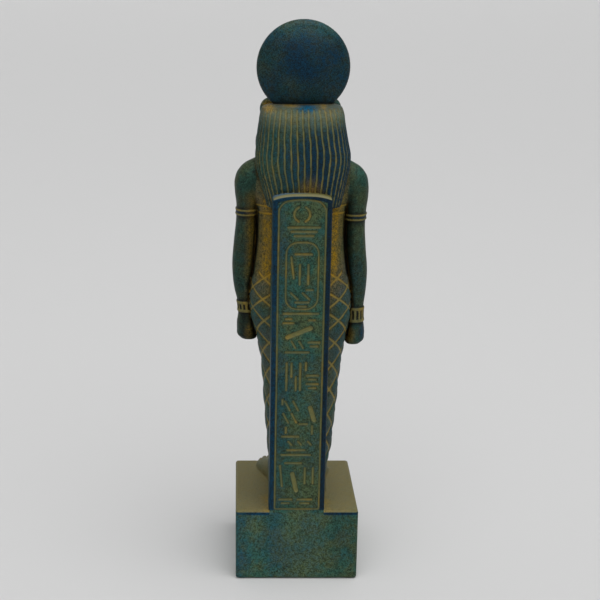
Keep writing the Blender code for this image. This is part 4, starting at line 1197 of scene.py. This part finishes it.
def flat_masks(n):
    """What lies on the pillar and the plinth: the blue border, the pale crown painted as a highlight on the
    pillar's top, ochre, dust and shade.
    """
    x, y, h = n.place()
    flat = n.span(n.layer("flat"), 0.4, 0.6)
    lean = n.span(h, 0.0, PILLAR_HEIGHT, PILLAR_X + PILLAR_LEAN, PILLAR_X, "LINEAR")
    side = n.gap(x, lean)
    half = PILLAR_WIDTH / 2 - PANEL_MARGIN
    sag = n.product(n.math("POWER", n.math("DIVIDE", side, half), 2.0), PANEL_TOP_SAG)
    above = n.total(n.minus(h, PILLAR_HEIGHT - PANEL_TOP_MARGIN), sag)
    outside = n.largest(n.minus(side, half), above)
    pillar_part = n.product(flat, n.span(h, 0.4, 0.8))
    rise = n.product(n.math("POWER", n.math("DIVIDE", side, PILLAR_WIDTH / 2), 3.0), PILLAR_CROWN_RISE)
    crown = n.total(n.minus(h, PILLAR_HEIGHT), rise)
    crown = n.product(pillar_part, n.span(crown, -0.75, -0.35), n.span(h, 160, 165))
    border = n.product(pillar_part, n.span(outside, 0.35, 0.8), n.span(y, REAR_Y - 3.0, REAR_Y - 1.6))
    clear = n.span(side, PILLAR_WIDTH / 2 - 0.6, PILLAR_WIDTH / 2 + 0.2)
    clear = n.largest(clear, n.span(y, REAR_Y - 4.0, REAR_Y - 6.0))
    top = n.product(flat, clear, n.span(h, -1.2, -0.6), n.span(h, 0.2, 0.5, 1.0, 0.0))
    beside = n.product(n.span(side, PILLAR_WIDTH / 2, 24.0, 0.8, 0.0), n.span(y, AXIS_Y + 2, AXIS_Y + 12))
    lip = n.span(y, REAR_Y - 7.0, REAR_Y - 2.5, 0.0, 0.35)
    behind = n.product(flat, n.span(y, REAR_Y - 1.4, REAR_Y - 0.6), n.span(h, -0.8, -1.2))
    below = n.product(behind, clear)
    line = n.product(below, n.span(h, -3.0, -2.0, 0.0, 0.9))
    corner = n.product(behind, n.span(x, 22.0, 33.0, 0.0, 0.6))
    streak = n.product(behind, n.span(n.gap(x, 11.0), 1.0, 10.0, 0.2, 0.0))
    streak = n.total(streak, n.product(pillar_part, n.span(x, 3.0, 11.0, 0.0, 0.3)))
    aged = n.product(pillar_part, n.span(h, 20, 110, 0.5, 0.0), n.span(x, -8.0, 8.0, 1.4, 0.2))
    middle = n.product(behind, n.span(n.gap(x, -3.0), 5.0, 18.0, 0.6, 0.0))
    dim = n.product(behind, n.span(x, -22.0, -10.0, 0.25, 0.0))
    return {
        "border": n.product(border, n.minus(1.0, crown)),
        "crown": crown,
        "rim": n.product(crown, n.span(y, REAR_Y - 5.0, REAR_Y - 3.5)),
        "top": top,
        "wash": n.product(top, n.largest(beside, lip)),
        "line": n.largest(line, corner, streak),
        "aged": n.total(aged, middle),
        "dim": n.total(dim, n.product(below, n.span(h, -3.0, -2.0, 0.0, 0.3))),
        "across": x,
    }


def patina():
    """Blue and green wash over stone, ochre left in the hollows and a dusty top, with painted shade and
    painted highlights.
    """
    material = bpy.data.materials.new("patinated_stone")
    n = Nodes(material)
    groove = n.layer("groove")
    tone = n.layer("tone")
    flat = flat_masks(n)
    border = flat["border"]
    wash = n.largest(n.layer("wash"), flat["wash"])
    broad = n.noise(42, 3, 0.5)
    patches = n.noise(110, 4, 0.6, offset=3.1)
    mottle = n.noise(640, 3, 0.65, offset=7.7)
    grain = n.noise(2100, 2, 0.7, offset=1.9)
    base = n.mix(n.math("ADD", n.span(patches, 0.38, 0.62), flat["aged"], clamp=True), TEAL, GREEN)
    tint = n.total(n.layer("blue"), n.span(broad, 0.3, 0.7, -0.25, 0.25))
    tint = n.total(tint, n.span(mottle, 0.3, 0.7, -0.2, 0.2))
    base = n.mix(n.math("ADD", tint, n.largest(border, flat["line"]), clamp=True), base, BLUE)

    # the border is darker on one side and below the crown; painted shadow makes dark lines round the marks
    # and every other groove
    speckle = n.total(n.product(grain, 0.9), n.product(mottle, 0.5))
    shade = n.product(tone, n.span(speckle, 0.53, 0.87, 0.3, 1.8))
    dim = n.total(flat["dim"], n.product(border, n.span(flat["across"], -6.0, 6.0, 0.6, 0.25)))
    # painted shadow along the fringe of each groove
    outline = n.product(n.span(groove, 0.02, 0.14), n.span(groove, 0.3, 0.65, 0.7, 0.0))
    base = n.scaled(base, n.product(shade, n.minus(1.0, dim), n.minus(1.0, outline)))

    rust = n.product(n.span(n.layer("hollow"), 0.10, 0.60, 0.0, 0.8), n.span(mottle, 0.3, 0.7, 0.35, 1.0))
    rust = n.largest(rust, n.product(wash, n.span(mottle, 0.32, 0.62, 0.35, 1.0)))
    rust = n.product(rust, n.span(patches, 0.25, 0.6, 0.6, 1.0))
    ochre = n.mix(n.span(grain, 0.3, 0.7), EARTH, OCHRE)
    base = n.mix(rust, base, n.scaled(ochre, n.total(n.product(tone, 0.8), 0.5)))

    line = n.product(groove, n.span(mottle, 0.2, 0.6, 0.6, 0.95), n.span(patches, 0.25, 0.55, 0.7, 1.0))
    gilt = n.math("ADD", n.layer("gold"), n.span(patches, 0.5, 0.68, 0.0, 0.28), clamp=True)
    base = n.mix(line, base, n.mix(gilt, OLIVE, OCHRE))

    dust = n.largest(n.layer("dust"), n.product(flat["top"], 0.9))
    dust = n.product(dust, n.span(mottle, 0.2, 0.7, 0.7, 1.0), n.minus(1.0, n.product(wash, 0.6)))
    base = n.mix(dust, base, TAN)
    # the pillar's top: a painted highlight, pale blue towards +X and cream along the rear rim, with dark
    # ochre dust towards -X
    crown = n.mix(n.span(flat["across"], -7.0, 5.0), CROWN_OCHRE, CROWN_BLUE_HIGHLIGHT)
    base = n.mix(n.product(flat["crown"], 0.8), base, n.mix(flat["rim"], crown, CROWN_RIM_HIGHLIGHT))

    n.link(base, n.shader.inputs["Base Color"])
    n.link(n.span(mottle, 0.2, 0.8, 0.42, 0.6), n.shader.inputs["Roughness"])
    n.shader.inputs["Specular IOR Level"].default_value = 0.16
    bump = n.add("ShaderNodeBump")
    height = n.total(n.product(grain, 0.6), mottle, n.product(n.layer("edge"), 0.1))
    n.link(height, bump.inputs["Height"])
    bump.inputs["Strength"].default_value = 0.6
    bump.inputs["Distance"].default_value = 0.0003
    n.link(bump.outputs["Normal"], n.shader.inputs["Normal"])
    return material


def statue():
    values = sample_statue()
    verts, quads = surface(values)
    verts = settle(values, verts)
    made = reduced("cast_statue", mesh_from("cast_statue", verts, quads), TRIANGLES)
    paint(made.data, values)
    made.data.materials.append(patina())
    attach(made, "root")
    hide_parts("sekhmet_statue")


# The camera: fitted to the photo's perspective
CAMERA_PLACE = (0.0322, 0.6285, 0.3373)
CAMERA_TILT = 16.5
FOCAL_PIXELS = 1200.0
PICTURE_PIXELS = 600.0
AXIS_PIXEL = 238.0
SENSOR = 36.0
SKY_STRENGTH = 2.0
BOX_POWER = 2.0
WORLD_STRENGTH = 0.4
# The backdrop: a round floor that curves up into a wall, a hair below the plinth
FLOOR_RADIUS = 9.0
FLOOR_BEND = 4.0
FLOOR_STEPS = 12
FLOOR_SIDES = 96
FLOOR_GAP = 0.0002
WALL_HEIGHT = 8.0


def camera():
    lens = bpy.data.cameras.new("camera")
    lens.sensor_width = SENSOR
    lens.lens = FOCAL_PIXELS / PICTURE_PIXELS * SENSOR
    lens.shift_x = (PICTURE_PIXELS / 2 - AXIS_PIXEL) / PICTURE_PIXELS
    lens.clip_start = 0.05
    lens.clip_end = 60
    made = placed("camera", lens)
    made.location = CAMERA_PLACE
    made.rotation_euler = (math.radians(90 - CAMERA_TILT), 0, math.radians(180))
    bpy.context.scene.camera = made


def floor():
    """A wide pale floor that bends up into a wall far behind, on every side."""
    profile = [(FLOOR_RADIUS / 3, 0.0), (FLOOR_RADIUS, 0.0)]
    for step in range(1, FLOOR_STEPS + 1):
        turn = math.pi / 2 * step / FLOOR_STEPS
        profile.append((FLOOR_RADIUS + FLOOR_BEND * math.sin(turn), FLOOR_BEND * (1 - math.cos(turn))))
    profile.append((FLOOR_RADIUS + FLOOR_BEND, WALL_HEIGHT))
    verts = []
    for radius, height in profile:
        for at in range(FLOOR_SIDES):
            turn = 2 * math.pi * at / FLOOR_SIDES
            verts.append((radius * math.cos(turn), radius * math.sin(turn), height))
    faces = [tuple(range(FLOOR_SIDES))]
    for low in range(0, len(verts) - FLOOR_SIDES, FLOOR_SIDES):
        high = low + FLOOR_SIDES
        for at in range(FLOOR_SIDES):
            after = (at + 1) % FLOOR_SIDES
            faces.append((low + at, high + at, high + after, low + after))
    mesh = bpy.data.meshes.new("floor")
    mesh.from_pydata(verts, [], faces)
    mesh.shade_smooth()
    made = placed("floor", mesh)
    made.location = (0, 0, -FLOOR_GAP)
    material = bpy.data.materials.new("pale_floor")
    n = Nodes(material)
    n.shader.inputs["Base Color"].default_value = (0.62, 0.62, 0.62, 1)
    n.shader.inputs["Roughness"].default_value = 0.9
    n.shader.inputs["Specular IOR Level"].default_value = 0.1
    mesh.materials.append(material)


def turned(direction):
    """The rotation that points a lamp along a direction."""
    flat = math.hypot(direction[0], direction[1])
    return (math.atan2(flat, -direction[2]), 0, math.atan2(direction[1], direction[0]) - math.pi / 2)


def lights():
    """One wide soft light from above, a softer box over the statue, and pale light all around."""
    sun = bpy.data.lights.new("sky", "SUN")
    sun.energy = SKY_STRENGTH
    sun.angle = math.radians(70)
    placed("sky", sun).rotation_euler = turned((0.15, -0.5, -1.0))
    box = bpy.data.lights.new("box", "AREA")
    box.size = 0.7
    box.energy = BOX_POWER
    made = placed("box", box)
    made.location = (-0.2, 0.1, 1.3)
    made.rotation_euler = turned((0.2, -0.1, -1.1))
    world = bpy.data.worlds.new("studio")
    world.use_nodes = True
    world.node_tree.nodes["Background"].inputs["Color"].default_value = (1, 1, 1, 1)
    world.node_tree.nodes["Background"].inputs["Strength"].default_value = WORLD_STRENGTH
    bpy.context.scene.world = world


statue()
floor()
lights()
camera()
bpy.context.scene.view_settings.view_transform = "Standard"
